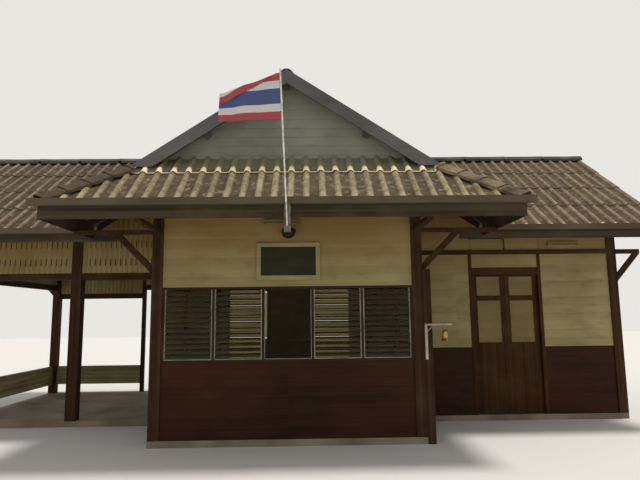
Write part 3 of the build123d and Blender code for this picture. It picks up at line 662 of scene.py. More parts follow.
def louvre(start, end, y, foot, head, facing):
    """One light of glass blades, and its two channels with a clip for each blade."""
    count = int((head - foot - blade_room) / blade_pitch)
    first = (foot + head) / 2 - (count - 1) * blade_pitch / 2
    half = (end - start) / 2 - channel
    top = blade_height / 2
    blade = plain_block((-half, -blade_thickness / 2, -top), (half, blade_thickness / 2, top))
    bevel(blade, "EDGE", lambda co: abs(co.z) > top - near / 2, blade_edge)
    for face in blade.data.polygons:
        face.material_index = 1 if abs(face.center.z) > top - 1.5 * blade_edge else 0
    clips = []
    corner = Vector((clip_thickness / 2, clip_depth / 2, top - clip_short))
    for side in (-1, 1):
        clip = plain_block(-corner, corner)
        bevel(clip, "EDGE", lambda co: min(abs(co.z) - corner.z, abs(co.y) - corner.y) > -near / 2,
              clip_round, 3)
        shift(clip, lambda co: True, x=side * (half + corner.x))
        clips.append(clip)
    for piece in [blade] + clips:
        piece.rotation_euler.x = blade_tilt * facing
        piece.location = ((start + end) / 2, y, first)
        settle(piece)
        row_of(piece, count, z=blade_pitch)
    low, high = y - channel_half, y + channel_half
    sill = plain_block((start + channel, low, foot), (end - channel, high, foot + bead))
    rails = []
    for x, inward in ((start, 1), (end - channel, -1)):
        rail = plain_block((x, low, foot), (x + channel, high, head))
        pick(rail, "FACE", lambda centre, normal: normal.x * inward > flush)
        bpy.ops.mesh.inset(thickness=channel_wall)
        bpy.ops.transform.translate(value=(-inward * (channel - channel_wall), 0, 0))
        done()
        rails.append(rail)
    return blade, clips + rails + [sill]


def glazed(wall, frames, spans, foot, head, facing, glass, beads=()):
    """Fills the lights of one wall's window frames with glass blades on channels."""
    middle = sum(corner.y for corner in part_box(frames)) / 2
    blades, metal = [], []
    for start, end in spans:
        light, rails = louvre(start, end, middle, foot + mullion, head - mullion, facing)
        blades.append(light)
        metal += rails
    node = f"{wall}_louvres"
    finish(f"{wall}_louvre_blades", joined(blades), glass, "louvre_glass", node, edge=ground_glass_and_glint)
    finish(f"{wall}_louvre_rails", joined(metal + list(beads)), aluminium, "window_aluminium")


aluminium, place = new_material("mill-finish aluminium, dulled", 0.42, {"Metallic": 0.75})
lines = patches(place, 1 / draw_line / 4, 0.3, 0.7, 3.0, (draw_stretch, 1.0, 1.0))
colour = layer(aluminium_pale, aluminium_dull, patches(place, 5.0, 0.3, 0.75, 6.0))
surface(aluminium, colour, lines, draw_depth)
# Painted glint: the blades' ground edges are drawn pale, partly their real frosting.
ground_glass_and_glint = clouded("ground glass edge", 0.6, 0.0, ground_edge_and_glint, ground_dark, (20.0, 0.35, 0.7))
louvre_glass = window_glass("bronze-tinted louvre glass", glass_tint, 0.04, 0.5, 0.86)
obscured = window_glass("obscured louvre glass", obscured_tint, 0.35, 0.8)
show(window_glass("clear sheet glass", clear_tint, 0.02, 0.25), "bay_clear_pane")
show(old_paint("dark bronze lacquer on aluminium", bronze_dark, bronze_dull, bronze_worn, 0.5, 0.4),
     "bay_window_frame", "rear_window_frames")

low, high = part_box("bay_clear_pane")
beads = []
for start, end, foot, head in ((low.x, low.x + bead, low.z, high.z), (high.x - bead, high.x, low.z, high.z),
                               (low.x + bead, high.x - bead, low.z, low.z + bead)):
    strip = plain_block((start, low.y - bead, foot), (end, low.y, head))
    bevel(strip, "EDGE", lambda co: co.y < low.y - bead / 2, bead / 4)
    beads.append(strip)
unit = (2 * window_side - mullion) / bay_lights
lefts = [mullion - window_side + index * unit for index in range(bay_lights) if index != bay_lights // 2]
spans = [(left, left + unit - mullion) for left in lefts]
glazed("bay", "bay_window_frame", spans, bay_sill, window_head, 1, louvre_glass, beads)
half = rear_window_half - mullion
spans = [(centre - half, centre + half) for centre in rear_window_centres]
glazed("rear", "rear_window_frames", spans, dado_head, rear_window_head, -1, obscured)

# Double door. Its frame and leaves are framed hardwood in dark brown varnish, worn at the edges, and the
# jambs go on up to the wall rail. The sunk panels are painted cream like the walls, and are drawn darker as
# painted shade in the recess.
jamb_proud = 0.008
jamb_edge = 0.003
varnish_dark = "#2e1b0c"
varnish_mid = "#4b2f18"
varnish_worn = "#5f4226"
# Painted shade: the panels' cream is drawn darker than the walls' for the shade of the recess.
panel_paint_in_shade = "#8c7c54"
panel_dull_in_shade = "#766743"
rail_foot, rail_head = (corner.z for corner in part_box("wall_rail"))
door_wood = stained_timber("varnished hardwood", "Z", varnish_dark, varnish_mid, varnish_worn)
show(door_wood, "door_frame", "door_leaf_left", "door_leaf_right")
show(old_paint("old cream oil paint, drawn_in_shade", panel_paint_in_shade, panel_dull_in_shade, cream_dirt, 0.5),
     "door_panes_left", "door_panes_right")
pieces = []
for x in (door_left, door_right - jamb_wide):
    low = (x, -wall_face - jamb_proud, door_head)
    upright = plain_block(low, (x + jamb_wide, board_room - wall_face, rail_foot))
    bevel(upright, "EDGE", lambda co: co.y < -wall_face and door_head < co.z < rail_foot, jamb_edge)
    pieces.append(upright)
finish("door_head_uprights", joined(pieces), door_wood, "door_timber")

# Name board. It is a plain board, painted dark green and left bare, in a cream frame whose edges are
# planed round.
sign_dark = "#2b2a1a"
sign_worn = "#3b3926"
sign_dirt = "#1a1a10"
frame_paint = "#8f8a63"
frame_round = 0.014
frame_edge = 0.003
frame_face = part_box("name_board_frame")[0].y
show(old_paint("dark green sign paint", sign_dark, sign_worn, sign_dirt, 0.6, 0.3), "name_board")
frame_cream = old_paint("cream gloss paint", frame_paint, cream_paint, cream_dirt, 0.4, 0.3)
piece = core("name_board_frame")
for node, rounding in (("name_board_frame", frame_round), ("name_board", frame_edge)):
    low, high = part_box(node)

    def on_edge(co):
        off = [min(abs(co[axis] - low[axis]), abs(co[axis] - high[axis])) for axis in (0, 2)]
        return co.y < frame_face + near and min(off) < 2 * near

    bevel(piece, "EDGE", on_edge, rounding, 3)
finish("name_board_moulding", piece, frame_cream, "cream_boards", "name_board_frame")

# Roof sheets. They are grey-brown fibre-cement sheets with two round ribs and flat pans, nailed to the
# rafters in overlapping courses. The ribs are drawn pale and the pans dark. This is partly sun bleaching,
# dirt and lichen, and partly a painted highlight on the ribs and painted shade in the pans.
sheet_cover = 0.450
sheet_lap = 0.042
sheet_show = 0.900
sheet_length = 1.100
sheet_thickness = 0.006
sheet_columns = 35
rib_first = 0.1125
rib_pitch = 0.225
rib_steps = ((0.050, 0.014), (0.036, 0.014), (0.022, 0.008), (0.008, 0.004))
nose_lift = 0.016
nose_reach = 0.6
pan_depth = 0.054
sheet_phase = -0.0325
sheet_slip = 0.008
sheet_turn = math.radians(0.25)
sheet_rise = 0.004
sliver = 0.003
valley_gap = 0.045
verge_cover = 0.022
ridge_gap = 0.010
first_column = 40
first_row = 10
# The in shade and in sun palettes are shaded and lit copies of one sheet. Their tones are painted shade and
# painted sunlight on the slopes that they cover.
palettes = {"in shade": ("#a2927c", "#604c3c", "#3c2d22", "#bdaf97", 0.03, 0.5, 0.24, 0.2),
            "in sun": ("#ae9b77", "#6f5942", "#3f3022", "#dccfae", 0.03, 0.9, 0.24, 0.05),
            "washed": ("#c6b48a", "#6e5d43", "#413526", "#f4e4b8", 0.16, 0.1, 0.9, -0.05)}
nose_curve = 0.75
nose_soft = 0.7
# The dark of lichen spots, also used for the painted shadow under each lap.
lichen_and_lap_shadow = "#362d22"
# Moss, together with the green-grey of painted shade under the gable.
moss_and_shade_green = "#8b8b72"
moss_and_shade_edge = 0.05
# Silt and painted shadow under the next sheet's nose start this far up a sheet.
lap_shadow_from = 0.74
crest_width = 0.65
cement_grit = 0.0012
cement_shine = 0.25
dice = random.Random(7)
sheet_width = sheet_cover + sheet_lap


def flat_grid(columns, rows, width=1.0, length=1.0):
    """A flat grid round the building's origin, from which a sheet is shaped."""
    bpy.ops.object.select_all(action="DESELECT")
    bpy.ops.mesh.primitive_grid_add(x_subdivisions=columns, y_subdivisions=rows, size=1, location=(0, 0, 0))
    piece = bpy.context.object
    opened(piece)
    bpy.ops.transform.resize(value=(width, length, 1))
    done()
    return piece


unit_sheet = flat_grid(sheet_columns, 2, sheet_width, sheet_length)
shift(unit_sheet, lambda co: True, x=sheet_width / 2, y=sheet_length / 2)
ribs = (rib_first, rib_first + rib_pitch)
for reach, lift in rib_steps:
    shift(unit_sheet, lambda co: min(abs(co.x - rib) for rib in ribs) < reach, z=lift)
shift(unit_sheet, lambda co: co.y < near, z=nose_lift / 2)
shift(unit_sheet, lambda co: co.y < sheet_length * nose_reach, z=nose_lift / 2)
shift(unit_sheet, lambda co: co.x > sheet_width - near, z=sheet_thickness)
modify(unit_sheet, "SOLIDIFY", thickness=sheet_thickness, offset=-1)


def laid(turn, slope, eave, span, length, regions):
    """Lays one roof slope in sheets from an eave, and saws those that cross a region's edges."""
    place = Matrix.Translation(eave) @ Matrix.Rotation(math.radians(turn), 4, "Z")
    place = place @ Matrix.Rotation(math.atan(slope), 4, "X")
    pieces = []
    first = math.floor((min(span) - sheet_phase) / sheet_cover)
    last = math.ceil((max(span) - sheet_phase) / sheet_cover)
    for row in range(math.ceil(length / sheet_show)):
        for column in range(first, last):
            slip = (dice.uniform(-0.5, 0.5) * sheet_slip, dice.uniform(-1, 1) * sheet_slip)
            corner = (sheet_phase + column * sheet_cover + slip[0], row * sheet_show + slip[1],
                      dice.uniform(0, sheet_rise) - pan_depth)
            lean = Matrix.Rotation(dice.uniform(-1, 1) * sheet_turn, 4, "Z")
            here = place @ Matrix.Translation(corner) @ lean
            for region in regions:
                mesh = unit_sheet.data.copy()
                mesh.transform(here)
                depths = [[(Vector(point) - vertex.co).dot(Vector(out)) for vertex in mesh.vertices]
                          for point, out in region]
                if any(max(depth) <= sliver for depth in depths):
                    bpy.data.meshes.remove(mesh)
                    continue
                for corner_uv in mesh.uv_layers.active.data:
                    corner_uv.uv += Vector((column + first_column, row + first_row))
                piece = bpy.data.objects.new("sheet", mesh)
                bpy.context.scene.collection.objects.link(piece)
                for (point, out), depth in zip(region, depths):
                    if min(depth) < 0:
                        trim(piece, point, out)
                pieces.append(piece)
    return joined(pieces)


def cement(weather, moss_and_shade_above=9.0):
    """Weathered fibre cement: matt, pale on the ribs and noses and dark in the pans, partly from weather and
    partly as painted highlight and shade. It is dark under each lap with silt and painted shadow, and mossy
    high up where it stays wet, with the green-grey of painted shade under the gable.
    """
    # A palette gives four colours, how far up a sheet the rain-washed nose reaches, its share in the lowest
    # course and in the others, and where on a rib's wave the pale crest begins. The pale nose is partly
    # rain-washed and partly a painted highlight where the sheets' ends catch the light.
    pale, mid, dark, nose, reach, eave_wash_and_glint, upper_wash_and_glint, crest_from = palettes[weather]
    sockets = {"Specular IOR Level": cement_shine}
    made, place = new_material(f"fibre-cement sheet, {weather}", 0.9, sockets)
    tree = made.node_tree
    uv = add(tree, "UVMap")["UV"]
    axes = add(tree, "SeparateXYZ", (uv,))
    across = add(tree, "Math", (axes["X"],), operation="FRACT")[0]
    along = add(tree, "Math", (axes["Y"],), operation="FRACT")[0]
    turn = 2 * math.pi / rib_pitch
    wave = add(tree, "Math", (across, turn * sheet_width, -turn * rib_first), operation="MULTIPLY_ADD")
    wave = add(tree, "Math", (wave[0],), operation="COSINE")
    crest = {"Value": wave[0], "From Min": crest_from, "From Max": crest_from + crest_width}
    crest = add(tree, "MapRange", crest)["Result"]
    whole = add(tree, "VectorMath", (uv,), operation="FLOOR")[0]
    age = add(tree, "TexWhiteNoise", {"Vector": whole}, noise_dimensions="2D")["Value"]
    broad = patches(place, 0.8, 0.35, 0.7)
    streak = patches(place, 7.0, 0.35, 0.75, 6.0)
    spots = patches(place, 30.0, 0.54, 0.64, 3.0)
    pale_spots = patches(place, 11.0, 0.55, 0.72, 8.0)
    worn = add(tree, "Math", (streak, 0.5, 0.45), operation="MULTIPLY_ADD")
    # Pale ribs: partly sun bleaching, and partly a painted highlight on the crests.
    bleach_and_highlight = add(tree, "Math", (crest, worn[0]), operation="MULTIPLY")[0]
    height = add(tree, "SeparateXYZ", (place,))["Z"]
    # Moss and painted shade: above this height the skirt lies under the gable and is drawn green-grey.
    damp_and_gable_shade = {"Value": height, "From Min": moss_and_shade_above, "From Max": moss_and_shade_above + moss_and_shade_edge}
    damp_and_gable_shade = add(tree, "MapRange", damp_and_gable_shade)["Result"]
    # Silt and painted shadow: the band just under the next sheet's nose is drawn dark.
    silt_and_lap_shadow = {"Value": along, "From Min": lap_shadow_from, "From Max": sheet_show / sheet_length}
    silt_and_lap_shadow = add(tree, "MapRange", silt_and_lap_shadow)["Result"]
    colour = layer(dark, mid, streak, 0.7)
    for top, mask, share in ((pale, bleach_and_highlight, 1), (dark, age, 0.45), (mid, broad, 0.3),
                             (lichen_and_lap_shadow, spots, 0.5), (pale, pale_spots, 0.4),
                             (moss_and_shade_green, damp_and_gable_shade, 0.62), (lichen_and_lap_shadow, silt_and_lap_shadow, 0.7)):
        colour = layer(colour, top, mask, share)
    # The pale edge at a sheet's foot, partly rain-washed and partly a painted highlight of the lit nose,
    # reaches up by the pans, and by its own share in each course.
    edge = add(tree, "Math", (crest, -nose_curve * reach, along), operation="MULTIPLY_ADD")
    washed = {"From Min": (1 - nose_curve) * reach, "From Max": (nose_soft - nose_curve) * reach}
    foot = add(tree, "MapRange", {"Value": edge[0], **washed})
    lowest = add(tree, "Math", (axes["Y"], first_row + 1), operation="LESS_THAN")
    most = add(tree, "Math", (lowest[0], eave_wash_and_glint - upper_wash_and_glint, upper_wash_and_glint), operation="MULTIPLY_ADD")
    nose_wash_and_glint = add(tree, "Math", (foot["Result"], most[0]), operation="MULTIPLY")[0]
    return surface(made, layer(colour, nose, nose_wash_and_glint), streak, cement_grit)


skirt_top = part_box("canopy_skirt_roof")[1].z
skirt_eave = -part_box("canopy_skirt_roof")[0].y
skirt_eave_z = 3.56
# Moss and the gable's painted shade on the skirt's top course begin at this height.
skirt_moss_and_shade = 4.15
skirt_slope = (skirt_top - skirt_eave_z) / (skirt_eave + bay_front)
front_end = -4.05
span_from = 0.3
gable_x = (bay_ridge - skirt_top) / bay_slope
crossing_x = (bay_ridge - main_ridge) / bay_slope
main_length = math.hypot(main_eave, main_ridge - main_eave_z)
bay_length = math.hypot(bay_eave, bay_ridge - bay_eave_z)
skirt_length = math.hypot(skirt_eave + bay_front, skirt_top - skirt_eave_z)


def valley(side, end, kept):
    """The valley's upright plane. Side 1 is right, end 1 the rear, and kept 1 for the main slope."""
    out = Vector((-kept * side * bay_slope, kept * end * main_slope, 0)).normalized()
    return Vector((side * crossing_x, 0, 0)) - out * valley_gap, out


def hip(side, kept):
    """The hip's upright plane. Kept is 1 for the bay's side slope and -1 for the skirt."""
    out = Vector((-kept * side * bay_slope, -kept * skirt_slope, 0)).normalized()
    return Vector((side * gable_x, bay_front, 0)), out


shaded_cement = cement("in shade")
sheet_end = verge + verge_cover
for side, name, sheet_cement in ((-1, "left", shaded_cement), (1, "right", cement("in sun"))):
    region = [past("y", -ridge_gap, 1), past("x", side * sheet_end, side), valley(side, -1, 1)]
    span = (side * span_from, side * verge)
    roof = laid(0, main_slope, (0, -main_eave, main_eave_z), span, main_length, [region])
    finish(f"main_sheets_front_{name}", roof, sheet_cement, "cement_tile", f"main_roof_front_{name}")
    inner = past("x", side * ridge_gap, -side)
    regions = [[inner, past("y", front_end, -1), past("y", 0, 1), valley(side, -1, -1)],
               [inner, past("y", front_end, 1), hip(side, 1)],
               [inner, past("y", 0, -1), past("y", rear_end, 1), valley(side, 1, -1)]]
    span = (-side * skirt_eave, side * rear_end)
    roof = laid(90 * side, bay_slope, (side * bay_eave, 0, bay_eave_z), span, bay_length, regions)
    finish(f"bay_sheets_{name}", roof, sheet_cement, "cement_tile", f"bay_roof_{name}")

behind = past("y", ridge_gap, -1)
regions = [[behind, past("y", rear_gable, -1), past("x", gable_x, 1), past("x", -gable_x, -1)]]
for side in (-1, 1):
    regions.append([behind, past("x", side * gable_x, -side), past("x", side * sheet_end, side)])
    regions.append([behind, past("x", side * gable_x, side), past("x", 0, -side), valley(side, 1, 1)])
roof = laid(180, main_slope, (0, main_eave, main_eave_z), (-verge, verge), main_length, regions)
finish("main_sheets_rear", roof, shaded_cement, "cement_tile", "main_roof_rear")
region = [past("y", bay_front - ridge_gap / 2, 1), hip(-1, -1), hip(1, -1)]
roof = laid(0, skirt_slope, (0, -skirt_eave, skirt_eave_z), (-bay_eave, bay_eave), skirt_length, [region])
finish("skirt_sheets", roof, cement("washed", skirt_moss_and_shade), "cement_tile", "canopy_skirt_roof")
bpy.data.objects.remove(unit_sheet)

# Ridge and hip caps. They are bent fibre-cement tiles in short lengths, each lapped over the next and
# bedded along the three ridges. The hips have shorter caps with round noses, plastered over in mortar.
cap_lap = 0.060
cap_wall = 0.007
cap_grit = 0.0015
ridge_show = 0.900
ridge_half = 0.118
ridge_step = 0.006
ridge_lip = 0.050
ridge_inside = 0.05
main_falls = (0, 0.004, 0.032, 0.078)
bay_falls = (0, 0.004, 0.034, 0.080)
hip_show = 0.340
hip_half = 0.150
hip_step = 0.016
hip_lip = 0.045
hip_nose = 0.055
hip_start = 0.012
hip_gap = 0.005
hip_heights = (0.046, 0.038, 0.002, -0.052)
cap_pale = "#69625a"
cap_dark = "#393530"
mortar_pale = "#988667"
# The dark of the mortar's clouds, also the painted shade of the left hip.
mortar_dark_and_shade = "#44382b"
mortar_grit = 0.004
mortar_lump = 0.085
mortar_swell = 0.024


def plain_cement(name, pale, dark, grit, shaded=0.0):
    """Cement with no pattern of its own, matt, pale where it is rubbed and dark with lichen and moisture, and
    by the shaded share darker on the left as painted shade.
    """
    made, place = new_material(name, 0.92, {"Specular IOR Level": cement_shine})
    tree = made.node_tree
    fine = patches(place, 26.0, 0.35, 0.7, 5.0)
    left = add(tree, "SeparateXYZ", (place,))["X"]
    # Painted shade: the left side of the building, where the left hip lies, is drawn darker by the shaded
    # share.
    left_side_shade = add(tree, "Math", (left, 0.0), operation="LESS_THAN")[0]
    colour = layer(pale, dark, patches(place, 2.4, 0.35, 0.7, 6.0))
    colour = layer(layer(colour, dark, fine, 0.45), dark, left_side_shade, shaded)
    return surface(made, colour, fine, grit)


def cap_row(start, end, show_each, half, heights, step, lip, nose=0.0):
    """Lapped caps on the line from one point to another. Heights go from the crown out to the edge."""
    start, end = Vector(start), Vector(end)
    run = end - start
    cap = flat_grid(3, 6, show_each + cap_lap, 2 * half)
    shift(cap, lambda co: True, x=(show_each + cap_lap) / 2)
    for number, height in enumerate(heights):
        row = number * half / 3
        shift(cap, lambda co: abs(abs(co.y) - row) < 5 * near, z=height)
        shift(cap, lambda co: abs(abs(co.y) - row) < 5 * near and co.x < near, x=nose * (number / 3) ** 2)
    pick(cap, "EDGE", lambda co: abs(co.y) > half - near)
    bpy.ops.mesh.extrude_edges_move(TRANSFORM_OT_translate={"value": (0, 0, -lip)})
    done()
    shift(cap, lambda co: co.x < nose + near, z=step)
    modify(cap, "SOLIDIFY", thickness=cap_wall, offset=-1)
    row_of(cap, math.ceil(run.length / show_each), x=show_each)
    cap.rotation_euler = (0, -math.asin(run.z / run.length), math.atan2(run.y, run.x))
    cap.location = start
    settle(cap)
    return trim_each(cap, [(end, run.normalized())])


cap_cement = plain_cement("fibre-cement ridge cap", cap_pale, cap_dark, cap_grit)
cap_front, cap_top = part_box("ridge_caps")[0].y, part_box("ridge_caps")[1].z
crown = cap_top - bay_ridge - ridge_step
main_heights = [crown - fall for fall in main_falls]
bay_heights = [crown - fall for fall in bay_falls]
inner = crossing_x - ridge_inside
rows = []
for start, end, heights in (((-verge, 0, main_ridge), (-inner, 0, main_ridge), main_heights),
                            ((verge, 0, main_ridge), (inner, 0, main_ridge), main_heights),
                            ((0, cap_front, bay_ridge), (0, rear_end, bay_ridge), bay_heights)):
    rows.append(cap_row(start, end, ridge_show, ridge_half, heights, ridge_step, ridge_lip))
finish("ridge_cap_tiles", joined(rows), cap_cement, "cement_cap", "ridge_caps")

# The left hip's mortar is drawn darker as painted shade.
mortar = plain_cement("rough cement mortar", mortar_pale, mortar_dark_and_shade, mortar_grit, 0.8)
hip_end_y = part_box("hip_caps")[1].y - hip_gap
rows = []
for side in (-1, 1):
    foot = Vector((side * bay_eave, -skirt_eave, bay_eave_z))
    head = Vector((side * gable_x, bay_front, skirt_top))
    end = foot.lerp(head, (hip_end_y - foot.y) / (head.y - foot.y))
    start = foot.lerp(head, hip_start)
    rows.append(cap_row(start, end, hip_show, hip_half, hip_heights, hip_step, hip_lip, hip_nose))
piece = joined(rows)
trim(piece, *past("y", hip_end_y, 1))
modify(piece, "SUBSURF", subdivision_type="SIMPLE", levels=2, render_levels=2)
lumps = bpy.data.textures.new("mortar lumps", "CLOUDS")
lumps.noise_scale = mortar_lump
modify(piece, "DISPLACE", texture=lumps, texture_coords="LOCAL", strength=mortar_swell, mid_level=0.6)
finish("hip_mortar", piece, mortar, "cement_cap", "hip_caps")

# Valleys. Where the bay roof meets the main roof, a strip of folded galvanised sheet lies under the
# tiles' edges and carries the water down. It is dull grey with a faint spangle, and brown with rust.
strip_half = 0.15
strip_depth = 0.058
strip_thickness = 0.001
strip_start = 0.02
strip_short = 0.05
zinc_pale = "#8d8c86"
zinc_dull = "#7a7a76"
zinc_rust = "#5c5547"
zinc, place = new_material("old galvanised sheet", 0.5, {"Metallic": 0.6})
colour = layer(zinc_pale, zinc_dull, patches(place, 30.0, 0.35, 0.65, 2.0))
surface(zinc, layer(colour, zinc_rust, patches(place, 2.5, 0.45, 0.75, 7.0), 0.7))


def valley_strip(side, end, reach):
    """One valley's strip, from the ridge down to where it ends in plan."""
    strip = flat_grid(2, 1)
    out = Vector((side * bay_slope, -end * main_slope, 0)).normalized()
    run = Vector((side * main_slope, end * bay_slope, 0)).normalized()
    start = Vector((side * crossing_x, 0, 0))
    length = reach / abs(run.y)
    for vertex in strip.data.vertices:
        across = vertex.co.x * 2 * strip_half
        spot = start + run * (strip_start + (vertex.co.y + 0.5) * length) + out * across
        bay_z = bay_ridge - bay_slope * abs(spot.x) - strip_depth * math.hypot(1, bay_slope)
        main_z = main_ridge - main_slope * abs(spot.y) - strip_depth * math.hypot(1, main_slope)
        vertex.co = (spot.x, spot.y, max(bay_z, main_z))
    opened(strip)
    bpy.ops.mesh.normals_make_consistent(inside=False)
    done()
    modify(strip, "SOLIDIFY", thickness=strip_thickness, offset=0)
    return strip


strips = [valley_strip(side, end, reach - strip_short) for end, reach in ((-1, main_eave), (1, rear_gable))
          for side in (-1, 1)]
finish("valley_strips", joined(strips), zinc, "gutter_metal")

# Eaves, barge boards and gutters. The eaves boards are stained like the frame, the barge boards were
# painted grey, and the gutters are folded galvanised sheet under old brown-grey paint.
gutter_paint = "#635a4b"
gutter_dull = "#4e4635"
gutter_rust = "#5f4029"
barge_paint = "#767777"
barge_dull = "#5c5a5a"
barge_bare = "#463a31"
barge_top = 0.05
barge_drop = 0.09
eaves_stain = ("#33281e", "#514333", "#5f5343")
show(stained_timber("stained hardwood, eaves", "XY", *eaves_stain), "canopy_fascia", "eaves_boards")
show(old_paint("old paint on galvanised sheet", gutter_paint, gutter_dull, gutter_rust, 0.5, 0.6),
     "canopy_gutter", "main_gutters")
barge_grey = old_paint("weathered grey oil paint", barge_paint, barge_dull, barge_bare, 0.7)
show(barge_grey, "bay_barge_boards", "purlin_ends")
piece = core("end_barge_boards")
shift(piece, lambda co: co.z > main_ridge - main_slope * abs(co.y) - barge_top, z=-barge_drop)
finish("end_barge_under_sheets", piece, barge_grey, "dark_timber", "end_barge_boards")

# Flagpole. It is a galvanised steel tube. It stands in an upright steel channel, open to the front, that a
# flat arm fixes to the canopy's eaves board. The channel is dull, and it is also drawn darker than the tube
# as painted shade.
pole_radius = 0.012
cap_inset = 0.4
cap_crown = 0.3
pole_foot = Vector((0.045, -5.009, 3.070))
pole_head = Vector((-0.050, -5.009, 5.388))
holder_half = 0.045
holder_back = 0.020
holder_plate = 0.005
holder_foot = 3.056
holder_block = 3.135
holder_head = 3.455
arm_half = 0.020
arm_foot = 3.30
arm_edge = 0.003
steel_pale = "#eeebdf"
steel_dark = "#bfbbab"
# Painted shade: the channel's tones are darker than the tube's, as seen in shade.
holder_pale_shaded = "#87867a"
holder_dark_shaded = "#5f5f50"
zinc_cloud = (18.0, 0.35, 0.65, 3.0)
zinc_depth = 0.0003
galvanised = clouded("galvanised steel tube", 0.4, 0.3, steel_pale, steel_dark, zinc_cloud, zinc_depth)
channel_steel_shaded = clouded("dull galvanised channel", 0.6, 0.3, holder_pale_shaded, holder_dark_shaded, zinc_cloud, zinc_depth)

bpy.ops.object.select_all(action="DESELECT")
bpy.ops.mesh.primitive_cylinder_add(vertices=20, radius=pole_radius, depth=(pole_head - pole_foot).length)
pole = bpy.context.object
pick(pole, "FACE", lambda centre, normal: normal.z > flush)
bpy.ops.mesh.inset(thickness=pole_radius * cap_inset)
bpy.ops.transform.translate(value=(0, 0, pole_radius * cap_crown))
done()
pole.rotation_euler = (0, math.atan2(pole_head.x - pole_foot.x, pole_head.z - pole_foot.z), 0)
pole.location = (pole_foot + pole_head) / 2
settle(pole)
finish("flagpole_tube", pole, galvanised, "galvanised", "flagpole")
x, y = pole_foot.xy
low = (x - holder_half, y - holder_back, holder_foot)
steel = plain_block(low, (x + holder_half, y + holder_back, holder_head))
pick(steel, "FACE", lambda centre, normal: normal.y < -flush)
bpy.ops.mesh.bisect(plane_co=(0, 0, holder_block), plane_no=(0, 0, 1))
done()
pick(steel, "FACE", lambda centre, normal: normal.y < -flush and centre.z > holder_block)
bpy.ops.mesh.inset(thickness=holder_plate)
bpy.ops.transform.translate(value=(0, 2 * holder_back - holder_plate, 0))
done()
low = (x - arm_half, y + holder_back, arm_foot)
arm = plain_block(low, (x + arm_half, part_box("flagpole")[1].y, arm_foot + 2 * arm_half))
bevel(arm, "EDGE", lambda co: abs(abs(co.x - x) - arm_half) < near, arm_edge)
finish("flagpole_channel", joined([steel, arm]), channel_steel_shaded, "galvanised")

# Flag. It is thin plain-woven cotton in five level bands, matt with a soft sheen, held to the pole along
# one edge. Wind has folded its top corner over, and it ripples towards the free edge. Its threads are
# drawn over twice as coarse as they are, so that they show.
flag_length = 0.90
flag_drop = 0.68
flag_cells = (72, 54)
flag_top = 5.325
hoist_x = -0.062
hoist_lean = (pole_foot.x - pole_head.x) / (pole_head.z - pole_foot.z)
fly_fall = 0.315
fold_start = 0.02
fold_most = 0.30
fold_bend = 0.85
fold_radius = 0.007
fly_squash = 0.86
ripple = 0.024
ripples = ((1.9, 0.25, 1.0, 1), (4.3, -0.6, 0.35, 2))
cloth_reach = (0.91, 0.035)
fly_bend = 0.9
cloth_thickness = 0.0012
thread = 0.0011
thread_depth = 0.0004
thread_shadow = "#3b3b40"
flag_red = "#ad4248"
flag_white = "#d6d4d2"
flag_blue = "#42527f"
flag_soil = "#6a6660"
flag_y = sum(corner.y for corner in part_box("flag")) / 2

flag = flat_grid(*flag_cells)
for vertex in flag.data.vertices:
    along = vertex.co.x + 0.5
    down = 0.5 - vertex.co.y
    opening = max(0.0, (along - fold_start) / (1 - fold_start))
    fold = fold_most * opening ** fold_bend
    beyond = (fold - down) * flag_drop
    squash = 1 - (1 - fly_squash) * along
    if beyond <= 0:
        drop, front = -beyond * squash, 0.0
    elif beyond < math.pi * fold_radius:
        angle = beyond / fold_radius
        drop, front = -fold_radius * math.sin(angle), fold_radius * (1 - math.cos(angle))
    else:
        drop, front = (beyond - math.pi * fold_radius) * squash, 2 * fold_radius
    wave = 0.0
    for level, upright, share, growth in ripples:
        wave += math.sin(2 * math.pi * (level * along + upright * down)) * ripple * share * along ** growth
    z = flag_top - fly_fall * along ** fly_bend - drop
    x = hoist_x + hoist_lean * (flag_top - z) * (1 - along)
    x -= along * flag_length * (cloth_reach[0] + cloth_reach[1] * down)
    vertex.co = (x, flag_y - front - wave, z)
modify(flag, "SOLIDIFY", thickness=cloth_thickness, offset=0)
modify(flag, "SUBSURF", levels=1, render_levels=1)

cotton, place = new_material("plain-woven cotton", 0.85, {"Sheen Weight": 0.25})
tree = cotton.node_tree
axes = add(tree, "SeparateXYZ", (add(tree, "UVMap")["UV"],))
off_middle = add(tree, "Math", (axes["Y"], 0.5), operation="SUBTRACT")
off_middle = add(tree, "Math", (off_middle[0],), operation="ABSOLUTE")
colour = flag_red
for band, reach in ((flag_white, 1 / 3), (flag_blue, 1 / 6)):
    colour = layer(colour, band, add(tree, "Math", (off_middle[0], reach), operation="LESS_THAN")[0])
colour = layer(colour, flag_soil, patches(place, 9.0, 0.4, 0.8, 5.0), 0.12)
threads = []
for axis, size in (("X", flag_length), ("Y", flag_drop)):
    turns = add(tree, "Math", (axes[axis], math.pi * size / thread), operation="MULTIPLY")
    threads.append(add(tree, "Math", (turns[0],), operation="SINE")[0])
weave = add(tree, "Math", threads, operation="MULTIPLY")[0]
shadow = add(tree, "Math", (weave, 0.05, 0.05), operation="MULTIPLY_ADD")[0]
surface(cotton, layer(colour, thread_shadow, shadow), weave, thread_depth)
finish("flag_cloth_sheet", flag, cotton, "flag_cloth", "flag")

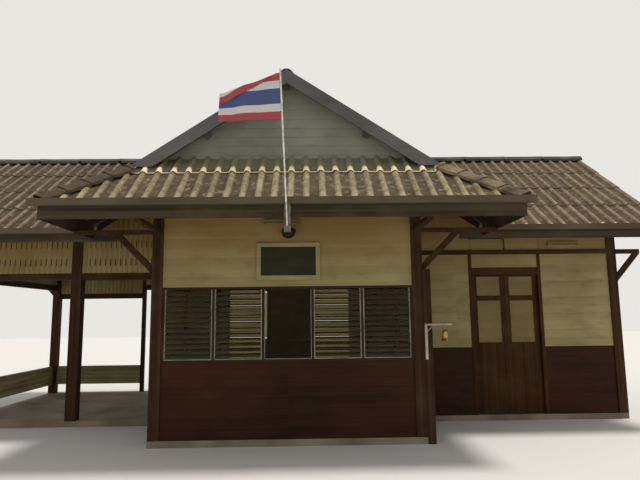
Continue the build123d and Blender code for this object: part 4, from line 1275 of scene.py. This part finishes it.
# Bell. A small cast brass bell hangs from a white painted iron bracket beside the bay. The brass is
# tarnished nearly brown, and shines through in patches where it is handled.
brass_bright = "#b3984a"
brass_dark = "#40371b"
brass_cloud = (14.0, 0.35, 0.65, 6.0)
brass_depth = 0.0006
iron_wide = 0.018
iron_bar = 0.015
iron_white = "#d6cbb0"
iron_grey = "#7d715a"
iron_rust = "#5a4a35"
show(clouded("tarnished cast brass", 0.38, 0.9, brass_bright, brass_dark, brass_cloud, brass_depth), "bell")
white_iron = old_paint("white enamel on iron", iron_white, iron_grey, iron_rust, 0.45, 0.7)
piece = core("bell_bracket")
low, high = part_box("bell_bracket")
inner, outer = iron_bar, 2 * iron_bar
shift(piece, lambda co: low.x + inner < co.x < low.x + outer, x=iron_wide)
shift(piece, lambda co: high.z - outer < co.z < high.z - inner and co.x > low.x + outer, z=-iron_wide / 3)
finish("bell_bracket_iron", piece, white_iron, "white_iron", "bell_bracket")

# Lamps. A round enamelled steel lamp hangs on the bay over the name board, and two tube lights sit on
# flat enamelled bases. A bent steel tube on the recessed wall holds the wire.
enamel_dark = "#231c16"
enamel_dull = "#30271e"
enamel_dirt = "#15100c"
enamel_pale = "#857650"
enamel_shade = "#6b5d41"
enamel_rust = "#6d6a58"
conduit_radius = 0.010
conduit_ring = 0.010
conduit_bend = 0.050
conduit_left = 3.37
conduit_right = 4.055
conduit_z = 3.355
lamp_enamel = old_paint("dark vitreous enamel", enamel_dark, enamel_dull, enamel_dirt, 0.35, 0.4)
show(lamp_enamel, "canopy_lamp")
show(old_paint("white enamelled sheet steel", enamel_pale, enamel_shade, enamel_rust, 0.35), "tube_lights")

bpy.ops.object.select_all(action="DESELECT")
bpy.ops.mesh.primitive_cylinder_add(vertices=12, radius=conduit_radius, depth=conduit_ring,
                                    end_fill_type="NOTHING")
conduit = bpy.context.object
turn_x = conduit_right - conduit_bend
turn_z = conduit_z - conduit_bend
wall_y = -wall_face - conduit_radius
ring_top = rail_head + conduit_ring
conduit.location = (conduit_right, wall_y, rail_head + conduit_ring / 2)
settle(conduit)
pick(conduit, "EDGE", lambda co: co.z > ring_top - near)
bpy.ops.mesh.extrude_edges_move(TRANSFORM_OT_translate={"value": (0, 0, turn_z - ring_top)})
bpy.ops.mesh.spin(steps=8, angle=math.pi / 2, center=(turn_x, wall_y, turn_z), axis=(0, 1, 0))
bpy.ops.mesh.extrude_edges_move(TRANSFORM_OT_translate={"value": (conduit_left - turn_x, 0, 0)})
bpy.ops.mesh.edge_face_add()
done()
pick(conduit, "EDGE", lambda co: co.z < rail_head + near)
bpy.ops.mesh.edge_face_add()
bpy.ops.mesh.select_all(action="SELECT")
bpy.ops.mesh.normals_make_consistent(inside=False)
done()
finish("wall_conduit", conduit, lamp_enamel, "lamp_metal")
